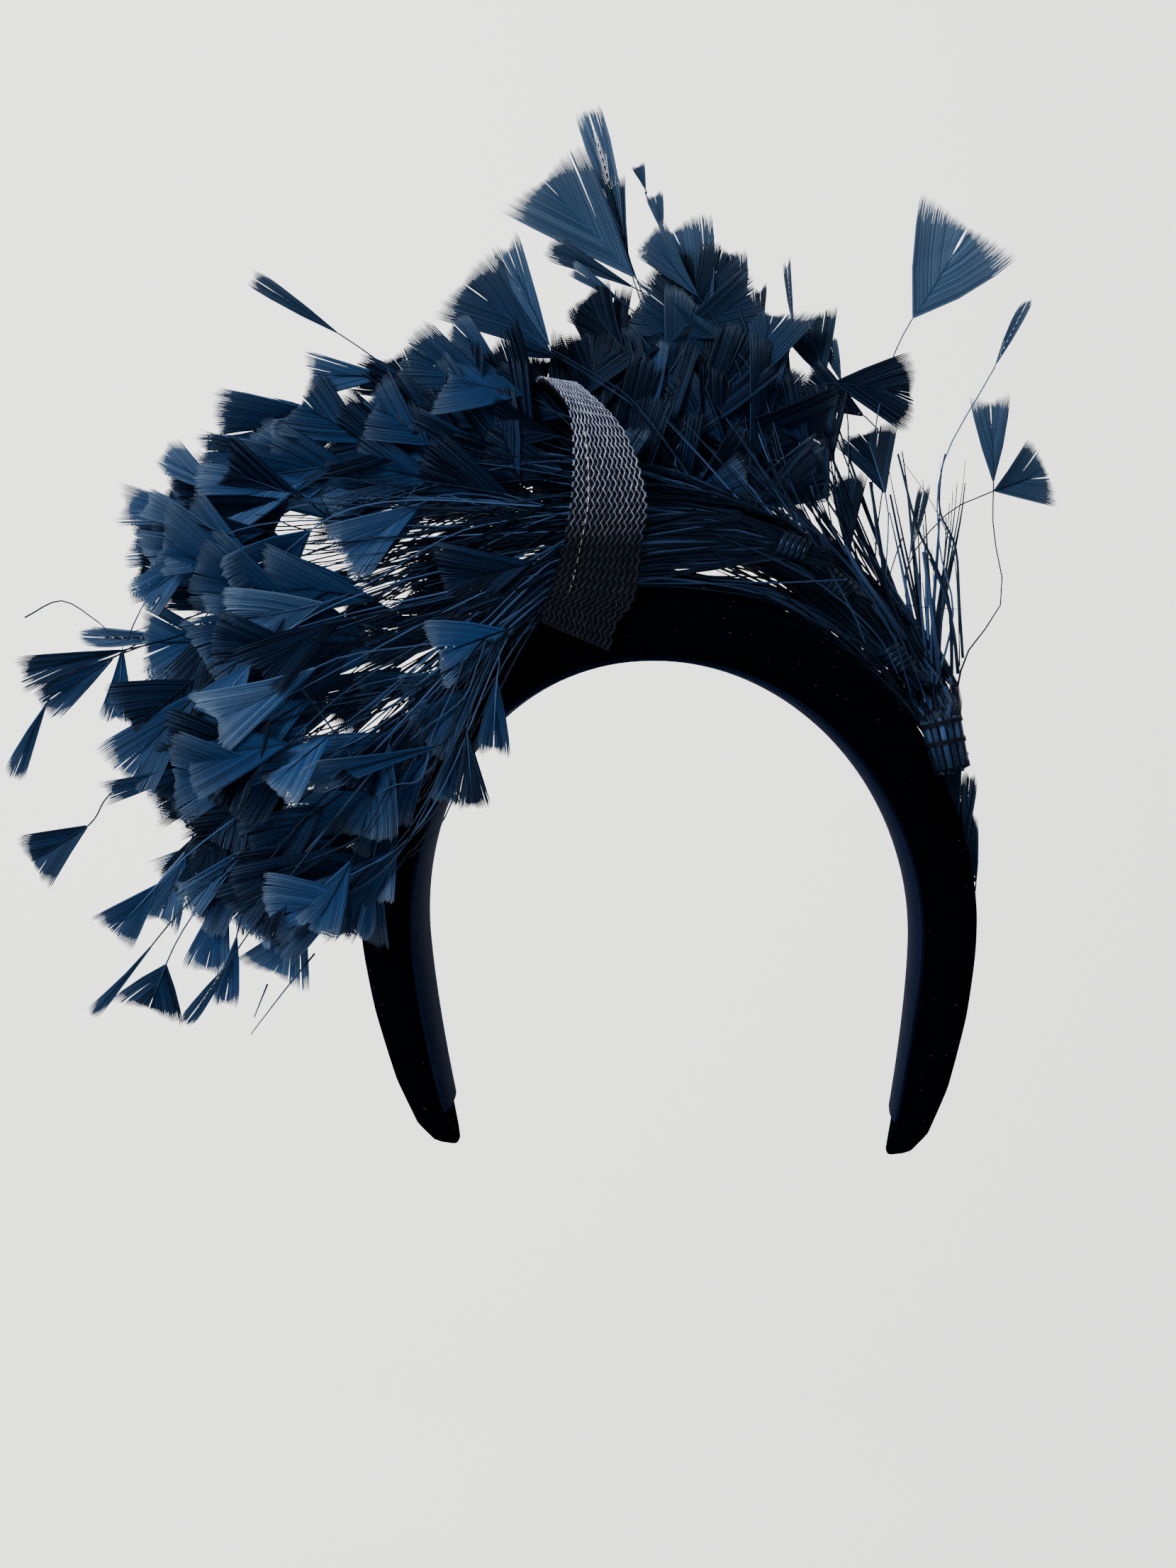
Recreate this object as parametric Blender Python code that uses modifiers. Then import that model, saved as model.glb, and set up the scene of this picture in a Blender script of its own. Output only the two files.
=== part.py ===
"""Fascinator: a padded velvet headband that carries four bunches of stripped feathers under a woven strap.

Sizes are in millimetres and MM turns them into metres. The origin is the crown seat, the middle of the band's
underside. +X is the wearer's left, which is the right of the front view, the front faces -Y and +Z is up.
"""
import math
from collections import namedtuple

import bmesh
import bpy
from mathutils import Vector

MM = 0.001
GAP = 0.3  # clearance between pieces that touch

# The front view that the feathers and the strap are charted in: u to the right and v up, in the plane through
# the origin, seen from EYE_DISTANCE and turned a little to +X. Depth is measured from that plane to the eye.
EYE_DISTANCE = 520.0
EYE_TURN = math.radians(7.0)
EYE_U = -20.1
EYE_V = -32.8
SEAT_RISE = 6.0  # height of the crown seat in the chart
RIGHT = Vector((math.cos(EYE_TURN), math.sin(EYE_TURN), 0.0))
TOWARDS_EYE = Vector((math.sin(EYE_TURN), -math.cos(EYE_TURN), 0.0))
UP = Vector((0.0, 0.0, 1.0))

# Band, measured in its own plane, which leans back towards the tips.
BAND_LEAN = math.radians(19.0)
ARCH_HALF_WIDTH = 75.0
ARCH_RISE = 93.0
LEG_LENGTH = 72.0
LEG_TURN_IN = 7.0
FACING_THICKNESS = 1.2
FACING_GAP = 0.5
BAND_SEAT = FACING_THICKNESS + FACING_GAP
SECTION_POWER = 2.5
DOME_SHARE = 0.62  # share of the padding that lies outside the widest line
BAND_SECTIONS = 34
SECTION_POINTS = 12
FACING_REACH = 0.93

Station = namedtuple("Station", "along padding width")
BAND_STATIONS = [
    Station(0.00, 17.0, 42.0),
    Station(0.25, 19.0, 40.0),
    Station(0.45, 20.0, 35.0),
    Station(0.60, 19.5, 30.0),
    Station(0.75, 18.0, 26.0),
    Station(0.87, 15.5, 22.0),
    Station(0.95, 12.0, 18.0),
    Station(0.985, 8.0, 13.0),
    Station(1.00, 3.0, 6.0),
]

# Feathers
STEM = 1.3
VANE_THICKNESS = 0.9
SHEAF_SIDES = 6
LAYER_CHANGE = 0.03
EASY_TURN = math.radians(38)  # sharpest turn with which a quill leaves its bunch
FIRST_ROOT_DEPTH = 7.0
ROOT_LENGTH = 10.0
ROOT_FADE = 12.0

# The plume as one sheaf, in the chart: its middle line, and by u its half depth and the depth of its centre.
SHEAF_MIDDLE = [(87.0, -12.0), (70.0, 6.0), (50.0, 30.0), (20.0, 44.0), (-15.0, 50.0), (-45.0, 44.0)]
SHEAF_HALF_DEPTH = [(-15.0, 14.0), (50.0, 11.5), (87.0, 8.0)]
PLUME_CENTRE = [(-190.0, 38.0), (-60.0, 9.0), (-15.0, 3.0), (50.0, 1.0), (87.0, -2.0)]
SHEAF_CORE = 22.0  # the sheaf keeps its depth this far from its middle line
SHEAF_SPREAD = 0.38
PLUME_HALF_DEPTH = 40.0
FRONT_OF_BAND = 27.0
FRONT_BUNCH_LAYER = 0.8
HANG_TOP = 30.0
HANG_FADE_DOWN = 24.0
HANG_RIGHT = -22.0
HANG_FADE_LEFT = 16.0

# Bindings
THREAD_RADIUS = 0.5
THREAD_SIDES = 12
THREAD_PLACES = [0.07, 0.18]
THREAD_CLEARANCE = 0.7
WINDING_WIRE = 1.5
WINDING_TURNS = 4
WINDING_SIDES = 8
WINDING_PITCH = 1.85
WINDING_PLACE = 0.03
WINDING_CLEARANCE = 0.65

# End trim: each vane's foot and end on the arch, its rise over the padding, its end's place front (-) to back,
# its width and its lean away from the padding in degrees.
TrimVane = namedtuple("TrimVane", "foot end rise lengthwise width lean")
TRIM_VANES = [
    TrimVane(0.575, 0.450, 1.0, -7.0, 8.0, 62),
    TrimVane(0.585, 0.475, 2.6, -9.0, 9.0, 48),
    TrimVane(0.560, 0.490, 0.8, -3.0, 7.0, 40),
]
TRIM_FOOT_LENGTHWISE = -5.0
TRIM_FOOT_WIDTH = 2.0
TRIM_THICKNESS = 1.0

Bunch = namedtuple("Bunch", "number back front spine colour")
Feather = namedtuple("Feather", "bunch base_u base_v tip_u tip_v width layer turn via")

# The four bunches: the share of the plume's depth that each takes, and u, v and width along its middle line.
BUNCHES = [
    Bunch(1, 0.00, 0.17, [(86.5, -24, 9), (83.5, -11, 10), (78, 3, 10), (63, 24, 12), (45, 42, 11)],
          (0.012, 0.022, 0.055)),
    Bunch(2, 0.26, 0.44, [(75, 0, 6), (67, 9, 6), (52, 25, 8), (25, 44, 13), (-5, 58, 16), (-32, 62, 15)],
          (0.016, 0.030, 0.075)),
    Bunch(3, 0.53, 0.72, [(58, 22, 6), (49, 29, 6), (32, 39, 8), (0, 46, 12), (-30, 46, 15), (-58, 42, 13)],
          (0.020, 0.038, 0.090)),
    Bunch(4, 0.81, 1.00, [(46, 35, 6), (36, 38, 6), (18, 39, 8), (-5, 37, 10), (-28, 31, 12), (-46, 16, 12),
                          (-62, -2, 10)],
          (0.012, 0.026, 0.070)),
]

# One row for each feather: where its vane starts and ends in the chart, the width of its end, its place between
# the back (0) and the front (1) of its bunch, its turn about its own quill in degrees, and points on its quill.
FEATHERS = [
    Feather(1, 76, 105, 94, 130, 31, 0.6, 0, ()),
    Feather(1, 100, 90, 110, 111, 3, 0.9, 50, ((88, 18), (84, 38), (85, 62))),
    Feather(1, 100, 56, 99.5, 82, 11, 0.7, 20, ((93, 8), (102, 21), (100, 40))),
    Feather(1, 100, 54, 116, 59, 22, 0.3, 5, ((74, 30), (86, 47))),
    Feather(1, 53, 86, 77, 84, 22, 0.8, 0, ()),
    Feather(1, 68, 53, 62, 73, 20, 0.9, 10, ()),
    Feather(1, 57, 34, 56, 59, 11, 1.0, 20, ()),
    Feather(1, 51, 50, 48, 70, 7, 0.5, 30, ()),
    Feather(1, 50, 87, 46, 106, 14, 0.4, 15, ()),
    Feather(1, 55, 86, 51, 99, 4, 0.6, 45, ()),
    Feather(1, 62, 76, 43, 87, 12, 0.2, 20, ()),
    Feather(1, 41, 101, 38, 122, 2, 0.5, 55, ((38, 88),)),
    Feather(1, 31, 98, 31, 115, 4, 0.3, 45, ()),
    Feather(1, 27, 96, 23, 125, 8, 0.2, 15, ()),
    Feather(1, 18, 114, 8, 140, 13, 0.6, 20, ()),
    Feather(1, 13, 111, -3, 129, 12, 0.9, 30, ()),
    Feather(1, 2, 130, 0, 143, 5, 0.1, 30, ()),
    Feather(1, -3, 143, -5, 151, 4, 0.0, 30, ((2, 132),)),
    Feather(1, -6, 119, -32, 144, 25, 0.5, 0, ()),
    Feather(1, -9, 127, -19, 167, 8, 0.3, 10, ()),
    Feather(1, -6, 114, -32, 127, 8, 0.8, 15, ()),
    Feather(1, -10, 110, -25, 121, 4, 1.0, 45, ()),
    Feather(1, -13, 100, -24, 113, 12, 0.7, 10, ()),
    Feather(1, 18, 97, -9, 108, 12, 0.9, 10, ()),
    Feather(1, 0, 77, -1, 98, 9, 0.8, 35, ()),
    Feather(1, -1, 77, -16, 97, 14, 0.6, 20, ()),
    Feather(1, 14, 79, 10, 98, 16, 0.5, 20, ()),
    Feather(1, 41, 78, 33, 101, 12, 0.4, 15, ()),
    Feather(1, 34, 70, 24, 91, 15, 0.3, 20, ()),
    Feather(1, 75, 34, 80, 56, 3, 0.9, 50, ()),
    Feather(2, -93, 100, -121, 118, 5, 0.5, 40, ()),
    Feather(2, -48, 84, -77, 98, 19, 0.7, 10, ()),
    Feather(2, -45, 88, -60, 104, 9, 0.5, 30, ()),
    Feather(2, -66, 82, -89, 90, 12, 0.4, 10, ()),
    Feather(2, -62, 57, -86, 82, 19, 0.8, 15, ()),
    Feather(2, -88, 73, -117, 76, 13, 0.3, 5, ()),
    Feather(2, -90, 77, -112, 65, 16, 0.6, 10, ()),
    Feather(2, -31, 96, -46, 128, 9, 0.6, 25, ((-6, 80), (-19, 89))),
    Feather(2, -37, 98, -54, 116, 22, 0.3, 5, ((-3, 80), (-20, 91))),
    Feather(2, -27, 93, -45, 98, 5, 0.5, 25, ((-8, 81),)),
    Feather(2, -114, 41, -140, 46, 14, 0.4, 10, ()),
    Feather(2, -127, 52, -147, 66, 11, 0.9, 25, ()),
    Feather(2, -105, 66, -137, 66, 10, 0.5, 10, ()),
    Feather(2, -119, 44, -159, 50, 13, 0.6, 5, ()),
    Feather(2, -48, 62, -76, 72, 17, 0.7, 15, ()),
    Feather(2, -90, 55, -119, 58, 18, 0.3, 10, ()),
    Feather(3, -130, 42, -152, 50, 9, 0.9, 25, ()),
    Feather(3, -119, 37, -153, 32, 20, 0.6, 5, ()),
    Feather(3, -134, 37, -155, 20, 13, 0.8, 10, ()),
    Feather(3, -140, 11, -171, 9, 6, 0.4, 10, ()),
    Feather(3, -157, 7, -189, 1, 11, 0.6, 15, ()),
    Feather(3, -160, 5, -183, -9, 12, 0.3, 15, ()),
    Feather(3, -180, -8, -192, -31, 5, 0.5, 45, ((-168, 2),)),
    Feather(3, -158, 8, -159, -16, 10, 0.2, 5, ((-146, 14),)),
    Feather(3, -138, 8, -145, -18, 12, 0.6, 10, ()),
    Feather(3, -127, 19, -142, -6, 16, 0.8, 10, ()),
    Feather(3, -98, 21, -127, 14, 20, 0.9, 10, ()),
    Feather(3, -90, 28, -118, 30, 15, 0.5, 15, ()),
    Feather(3, -104, 9, -135, 1, 15, 0.3, 15, ()),
    Feather(4, -100, 2, -132, -17, 21, 0.9, 10, ()),
    Feather(4, -130, -17, -154, -27, 8, 0.5, 15, ()),
    Feather(4, -128, -25, -163, -37, 7, 0.7, 25, ()),
    Feather(4, -133, -22, -146, -39, 12, 0.4, 15, ()),
    Feather(4, -126, -26, -140, -44, 13, 0.2, 10, ()),
    Feather(4, -168, -45, -186, -56, 18, 0.6, 5, ((-150, -29),)),
    Feather(4, -147, -62, -161, -78, 15, 0.6, 10, ()),
    Feather(4, -139, -52, -148, -75, 13, 0.3, 15, ()),
    Feather(4, -148, -79, -166, -102, 4, 0.8, 45, ()),
    Feather(4, -145, -86, -151, -101, 22, 0.5, 10, ()),
    Feather(4, -127, -62, -134, -89, 14, 0.4, 10, ()),
    Feather(4, -124, -77, -128, -99, 7, 0.7, 30, ()),
    Feather(4, -126, -85, -139, -105, 4, 0.9, 45, ()),
    Feather(4, -117, -55, -122, -78, 8, 0.2, 15, ()),
    Feather(4, -104, -52, -113, -74, 14, 0.4, 10, ()),
    Feather(4, -104, -71, -113, -91, 24, 0.3, 5, ()),
    Feather(4, -90, -55, -101, -77, 15, 0.9, 5, ()),
    Feather(4, -89, -56, -92, -79, 4, 0.6, 45, ()),
    Feather(4, -84, -58, -86, -79, 5, 0.5, 35, ()),
    Feather(4, -56, -16, -54, -41, 11, 0.7, 15, ()),
    Feather(4, -58, -16, -63, -40, 9, 0.5, 20, ()),
    Feather(4, -63, -21, -105, -33, 10, 1.0, 15, ()),
    Feather(4, -103, -26, -131, -33, 7, 0.8, 15, ()),
    Feather(4, -75, -31, -92, -51, 18, 0.3, 15, ()),
    Feather(4, -108, -25, -117, -47, 10, 0.2, 10, ()),
    Feather(4, -92, -51, -125, -65, 12, 0.9, 15, ()),
    Feather(4, -112, -46, -139, -72, 20, 0.5, 10, ()),
]

# Strap
STRAP_THICKNESS = 1.5
STRAP_CLEARANCE = -0.2  # from the front bunch's outermost layer, which its quills don't quite reach
STRAP_BACK_LAYER = 0.21
STRAP_CORNERS = [(-34.0, 15.5), (-33.0, 20.5)]  # lower left corner and a point above it, in the chart
# The strap's lower right corner on the band's front and its back end on the band's back: place on the arch of its
# left and right edge, and the angle round the padding in degrees.
StrapFoot = namedtuple("StrapFoot", "left right angle")
STRAP_FRONT_FEET = [StrapFoot(None, -0.055, 184), StrapFoot(None, -0.040, 158)]
STRAP_BACK_FEET = [StrapFoot(-0.165, -0.045, 25), StrapFoot(-0.165, -0.045, 5)]
STRAP_SIDES = {"front": 1.0, "shoulder": 0.86, "top": 0.5, "far_shoulder": 0.12, "back": 0.0}
StrapRow = namedtuple("StrapRow", "left_u left_v right_u right_v side")
STRAP_ROWS = [
    StrapRow(-31, 26, -6, 22, "front"),
    StrapRow(-28, 37, -4, 38, "front"),
    StrapRow(-25.5, 50, -2.5, 50, "front"),
    StrapRow(-24.7, 61, -5, 62, "front"),
    StrapRow(-25, 72, -9, 71, "front"),
    StrapRow(-27, 80, -14, 77, "shoulder"),
    StrapRow(-34, 87, -23, 85, "top"),
    StrapRow(-36, 82, -22, 82, "far_shoulder"),
    StrapRow(-36, 68, -16, 68, "back"),
    StrapRow(-34, 50, -11, 50, "back"),
    StrapRow(-33, 34, -9, 34, "back"),
]


def clear_scene():
    for item in list(bpy.data.objects):
        bpy.data.objects.remove(item)


def between(low, high, share):
    return low + (high - low) * share


def ease(value):
    value = min(1.0, max(0.0, value))
    return value * value * (3.0 - 2.0 * value)


def read_rows(rows, key, at):
    """Value between rows of (place, value) pairs, in order of place."""
    places = [row[0] for row in rows]
    values = [row[key] for row in rows]
    if at <= places[0]:
        return values[0]
    for index in range(1, len(rows)):
        if at <= places[index]:
            share = (at - places[index - 1]) / (places[index] - places[index - 1])
            return between(values[index - 1], values[index], share)
    return values[-1]


def place(u, v, depth):
    """The point of the part that the front view shows at u, v, so far in front of the plane of the chart."""
    eye = RIGHT * EYE_U + UP * (EYE_V - SEAT_RISE) + TOWARDS_EYE * EYE_DISTANCE
    on_plane = RIGHT * u + UP * (v - SEAT_RISE)
    return eye + (on_plane - eye) * (1.0 - depth / EYE_DISTANCE)


def chart_of(point):
    """The u, v and depth of a point of the part."""
    depth = point.dot(TOWARDS_EYE)
    scale = 1.0 - depth / EYE_DISTANCE
    u = EYE_U + (point.dot(RIGHT) - EYE_U) / scale
    v = EYE_V + (point.z - (EYE_V - SEAT_RISE)) / scale
    return u, v, depth


def arch(along):
    """Inner line of the band in its own plane, from the top (0) to a tip (1): across, down and the outward turn."""
    quarter = 0.5 * math.pi * (ARCH_HALF_WIDTH + ARCH_RISE) / 2
    total = quarter + LEG_LENGTH

    def spot(distance):
        if distance < quarter:
            angle = 0.5 * math.pi * distance / quarter
            return ARCH_HALF_WIDTH * math.sin(angle), ARCH_RISE * (1 - math.cos(angle))
        share = (distance - quarter) / LEG_LENGTH
        return ARCH_HALF_WIDTH - LEG_TURN_IN * share ** 1.6, ARCH_RISE + LEG_LENGTH * share

    distance = abs(along) * total
    across, down = spot(distance)
    before = spot(max(0.0, distance - 1.0))
    after = spot(distance + 1.0)
    run = Vector((after[0] - before[0], after[1] - before[1])).normalized()
    side = -1.0 if along < 0 else 1.0
    if abs(along) < 1e-6:
        run = Vector((1.0, 0.0))
    return side * across, down, side * run.y, -run.x


def band_point(along, lengthwise, outward):
    """A point of the part from its place on the arch, its place front (-) to back (+) and its rise above the
    underside."""
    across, down, turn_across, turn_down = arch(along)
    across += turn_across * outward
    down += turn_down * outward
    return Vector((
        across,
        down * math.sin(BAND_LEAN) + lengthwise * math.cos(BAND_LEAN),
        -down * math.cos(BAND_LEAN) + lengthwise * math.sin(BAND_LEAN),
    ))


def band_skin(along, angle, offset):
    """A point on the band's padded skin: angle 0 is its back edge, 90 degrees its dome and 180 its front edge."""
    padding = read_rows(BAND_STATIONS, 1, abs(along))
    width = read_rows(BAND_STATIONS, 2, abs(along))
    rise = padding * (DOME_SHARE if math.sin(angle) >= 0 else 1 - DOME_SHARE)
    power = 2.0 / SECTION_POWER
    cosine, sine = math.cos(angle), math.sin(angle)
    reach = math.copysign(abs(cosine) ** power, cosine)
    lift = math.copysign(abs(sine) ** power, sine)
    normal = Vector((cosine / width, sine / (2 * rise))).normalized()
    lengthwise = reach * width / 2 + normal.x * offset
    outward = BAND_SEAT + padding * (1 - DOME_SHARE) + lift * rise + normal.y * offset
    return band_point(along, lengthwise, outward)


def distance_to_sheaf(u, v):
    """Distance in the chart from the middle line of the whole sheaf."""
    point = Vector((u, v))
    nearest = 1e9
    for start, end in zip(SHEAF_MIDDLE, SHEAF_MIDDLE[1:]):
        start, end = Vector(start), Vector(end)
        run = end - start
        share = max(0.0, min(1.0, (point - start).dot(run) / run.length_squared))
        nearest = min(nearest, (start + run * share - point).length)
    return nearest


def depth_at(u, v, layer):
    """Depth of a layer of the plume, from its back (0) to its front (1), at a place in the chart."""
    half = read_rows(SHEAF_HALF_DEPTH, 1, u)
    half = min(PLUME_HALF_DEPTH, half + SHEAF_SPREAD * max(0.0, distance_to_sheaf(u, v) - SHEAF_CORE))
    centre = read_rows(PLUME_CENTRE, 1, u)
    # The front bunch hangs before the band on the left, and the whole plume moves forward with it.
    hang = ease((HANG_TOP - v) / HANG_FADE_DOWN) * ease((HANG_RIGHT - u) / HANG_FADE_LEFT)
    behind_front_bunch = centre + half * (2 * FRONT_BUNCH_LAYER - 1)
    forward = max(0.0, FRONT_OF_BAND - behind_front_bunch) * hang
    return centre + forward + half * (2 * layer - 1)


def loft(name, rings):
    """One closed solid through rings of equal length, given in millimetres."""
    mesh = bmesh.new()
    rows = [[mesh.verts.new(point * MM) for point in ring] for ring in rings]
    count = len(rings[0])
    for first, second in zip(rows, rows[1:]):
        for index in range(count):
            after = (index + 1) % count
            mesh.faces.new((first[index], first[after], second[after], second[index]))
    mesh.faces.new(list(reversed(rows[0])))
    mesh.faces.new(rows[-1])
    bmesh.ops.recalc_face_normals(mesh, faces=mesh.faces)
    data = bpy.data.meshes.new(name)
    mesh.to_mesh(data)
    mesh.free()
    return data


def finish_material(name, colour, roughness, metallic=0.0):
    material = bpy.data.materials.new(name)
    material.use_nodes = True
    shader = material.node_tree.nodes["Principled BSDF"]
    shader.inputs["Base Color"].default_value = (*colour, 1.0)
    shader.inputs["Roughness"].default_value = roughness
    shader.inputs["Metallic"].default_value = metallic
    return material


def add_piece(collection, name, data, material, smooth=True):
    piece = bpy.data.objects.new(name, data)
    collection.objects.link(piece)
    data.materials.clear()
    data.materials.append(material)
    if smooth:
        data.shade_smooth()
        data.set_sharp_from_angle(angle=math.radians(40))
    return piece


def band_sections():
    """Places of the band's sections on the arch, closer together at the tips, where it rounds off."""
    places = []
    for index in range(BAND_SECTIONS + 1):
        swing = 2.0 * index / BAND_SECTIONS - 1.0
        places.append(math.copysign(1.0 - (1.0 - abs(swing)) ** 1.25, swing))
    return places


def facet_skin(along, angle, offset):
    """A point at an offset from the band's flat facets, not from its round skin."""
    facet = 2 * math.pi / SECTION_POINTS
    first = math.floor(angle / facet + 1e-6) * facet
    share = (angle - first) / facet
    on_facet = band_skin(along, first, 0.0).lerp(band_skin(along, first + facet, 0.0), share)
    outwards = band_skin(along, angle, 1.0) - band_skin(along, angle, 0.0)
    return on_facet + outwards.normalized() * offset


def build_headband(collection, velvet):
    rings = []
    for along in band_sections():
        rings.append([band_skin(along, 2 * math.pi * step / SECTION_POINTS, 0.0)
                      for step in range(SECTION_POINTS)])
    add_piece(collection, "headband", loft("headband", rings), velvet)


def build_inner_facing(collection, facing_velvet):
    """A strip under the band. On the right it turns further up the band's front edge."""
    rings = []
    for along in band_sections():
        if abs(along) > FACING_REACH:
            continue
        turn_up = 20.0 * ease((along + 0.05) / 0.35) * ease((0.85 - along) / 0.4)
        last = 222.0 - turn_up
        angles = [math.radians(angle) for angle in (300.0, 270.0, 240.0, max(210.0, last + 3.0), last)]
        inner = [facet_skin(along, angle, FACING_GAP) for angle in angles]
        outer = [facet_skin(along, angle, FACING_GAP + FACING_THICKNESS) for angle in angles]
        rings.append(inner + list(reversed(outer)))
    add_piece(collection, "inner_facing", loft("inner_facing", rings), facing_velvet)


def strap_edges():
    """Left and right edge of the strap, in pairs, from the band's front over the quills to the band's back."""
    lift = 2 * GAP + STRAP_THICKNESS / 2
    clear = STRAP_THICKNESS / 2 + STRAP_CLEARANCE

    def over_quills(u, v, side):
        back = depth_at(u, v, STRAP_BACK_LAYER) - clear
        front = depth_at(u, v, 1.0) + clear
        return place(u, v, between(back, front, STRAP_SIDES[side]))

    pairs = []
    for (u, v), foot in zip(STRAP_CORNERS, STRAP_FRONT_FEET):
        pairs.append((over_quills(u, v, "front"), band_skin(foot.right, math.radians(foot.angle), lift)))
    for row in STRAP_ROWS:
        pairs.append((over_quills(row.left_u, row.left_v, row.side), over_quills(row.right_u, row.right_v, row.side)))
    for foot in STRAP_BACK_FEET:
        angle = math.radians(foot.angle)
        pairs.append((band_skin(foot.left, angle, lift), band_skin(foot.right, angle, lift)))
    return pairs


def build_strap(collection, braid):
    pairs = strap_edges()
    rings = []
    for index, (left, right) in enumerate(pairs):
        before = pairs[max(0, index - 1)]
        after = pairs[min(len(pairs) - 1, index + 1)]
        run = (after[0] + after[1]) - (before[0] + before[1])
        face = (right - left).cross(run).normalized() * (STRAP_THICKNESS / 2)
        rings.append([left - face, right - face, right + face, left + face])
    data = loft("gathering_strap", rings)
    strap = add_piece(collection, "gathering_strap", data, braid)
    rounding = strap.modifiers.new("soften", "SUBSURF")
    rounding.levels = 1
    rounding.render_levels = 1
    rounding.boundary_smooth = "PRESERVE_CORNERS"


def smooth_line(points, share):
    """A point on a smooth curve through points of equal size, at a share of the way from the first to the last."""
    place_on = share * (len(points) - 1)
    index = min(len(points) - 2, int(place_on))
    rest = place_on - index
    p1, p2 = points[index], points[index + 1]
    p0 = points[index - 1] if index > 0 else p1 * 2 - p2
    p3 = points[index + 2] if index + 2 < len(points) else p2 * 2 - p1
    return 0.5 * ((2 * p1) + (p2 - p0) * rest + (2 * p0 - 5 * p1 + 4 * p2 - p3) * rest ** 2
                  + (3 * p1 - p0 - 3 * p2 + p3) * rest ** 3)


def root_depth(bunch):
    """Depth of a bunch's root: on the band for the first, and in front of the bunch behind it for the others."""
    u, v = bunch.spine[0][:2]
    if bunch.number == 1:
        return FIRST_ROOT_DEPTH
    behind = BUNCHES[bunch.number - 2]
    radius = bunch.spine[0][2] / 2 + WINDING_WIRE + GAP
    return depth_at(u, v, behind.front) + STEM / 2 + GAP + radius


def spine_depth(bunch, u, v, layer):
    """Depth of a quill of a bunch near the bunch's middle line: it comes from the root's depth to its layer's."""
    start = Vector(bunch.spine[0][:2])
    away = (Vector((u, v)) - start).length
    share = ease((away - ROOT_LENGTH) / ROOT_FADE)
    settled = depth_at(u, v, between(bunch.back, bunch.front, layer))
    return between(root_depth(bunch), settled, share)


def build_sheaf(bunch):
    """The body of a bunch's quills, from its root to where they part."""
    spine = [Vector(row) for row in bunch.spine]
    rings = []
    count = 2 * (len(spine) - 1)
    for index in range(count + 1):
        share = index / count
        here = smooth_line(spine, share)
        ahead = smooth_line(spine, min(1.0, share + 0.02))
        behind = smooth_line(spine, max(0.0, share - 0.02))
        run = Vector((ahead.x - behind.x, ahead.y - behind.y)).normalized()
        across = Vector((run.y, -run.x)) * here.z / 2
        back = spine_depth(bunch, here.x, here.y, 0.0)
        front = spine_depth(bunch, here.x, here.y, 1.0)
        middle = (front + back) / 2
        half = max(bunch.spine[0][2] / 2 * (1 - ease(share * 4)), (front - back) / 2)
        if index == count:
            across *= 0.5
            half *= 0.4
        ring = []
        for step in range(SHEAF_SIDES):
            angle = 2 * math.pi * step / SHEAF_SIDES
            u = here.x + across.x * math.cos(angle)
            v = here.y + across.y * math.cos(angle)
            ring.append(place(u, v, middle + half * math.sin(angle)))
        rings.append(ring)
    return loft(f"sheaf_{bunch.number}", rings)


def leaving_share(bunch, base):
    """How far along its bunch's middle line a quill leaves: as far as it can without a sharp turn."""
    spine = [Vector(row) for row in bunch.spine]
    for step in range(19, 2, -1):
        share = step / 20
        here = smooth_line(spine, share)
        ahead = smooth_line(spine, min(1.0, share + 0.04))
        run = Vector((ahead.x - here.x, ahead.y - here.y))
        way = base - Vector((here.x, here.y))
        if way.length > ROOT_FADE and run.angle(way) < EASY_TURN:
            return share
    return 0.12


def quill_points(feather, bunch):
    """Points of a feather's quill in the chart with their depth, from inside the sheaf to the vane's base."""
    base = Vector((feather.base_u, feather.base_v))
    tip = Vector((feather.tip_u, feather.tip_v))
    first_goal = Vector(feather.via[0]) if feather.via else base
    share = leaving_share(bunch, first_goal)
    spine = [Vector(row) for row in bunch.spine]
    start = smooth_line(spine, share)
    ahead = smooth_line(spine, min(1.0, share + 0.05))
    run = Vector((ahead.x - start.x, ahead.y - start.y)).normalized()
    side = Vector((run.y, -run.x))
    lean = side.dot((first_goal - Vector((start.x, start.y))).normalized())
    start = Vector((start.x, start.y)) + side * lean * start.z * 0.3
    if feather.via:
        return [start] + [Vector(point) for point in feather.via] + [base]
    length = (base - start).length
    heading = (tip - base).normalized()
    first = start + run * length * 0.3
    second = base - heading * length * 0.3
    points = []
    steps = 4 if length > 60 else 3
    for step in range(steps + 1):
        t = step / steps
        points.append(start * (1 - t) ** 3 + first * 3 * t * (1 - t) ** 2
                      + second * 3 * t * t * (1 - t) + base * t ** 3)
    return points


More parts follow.
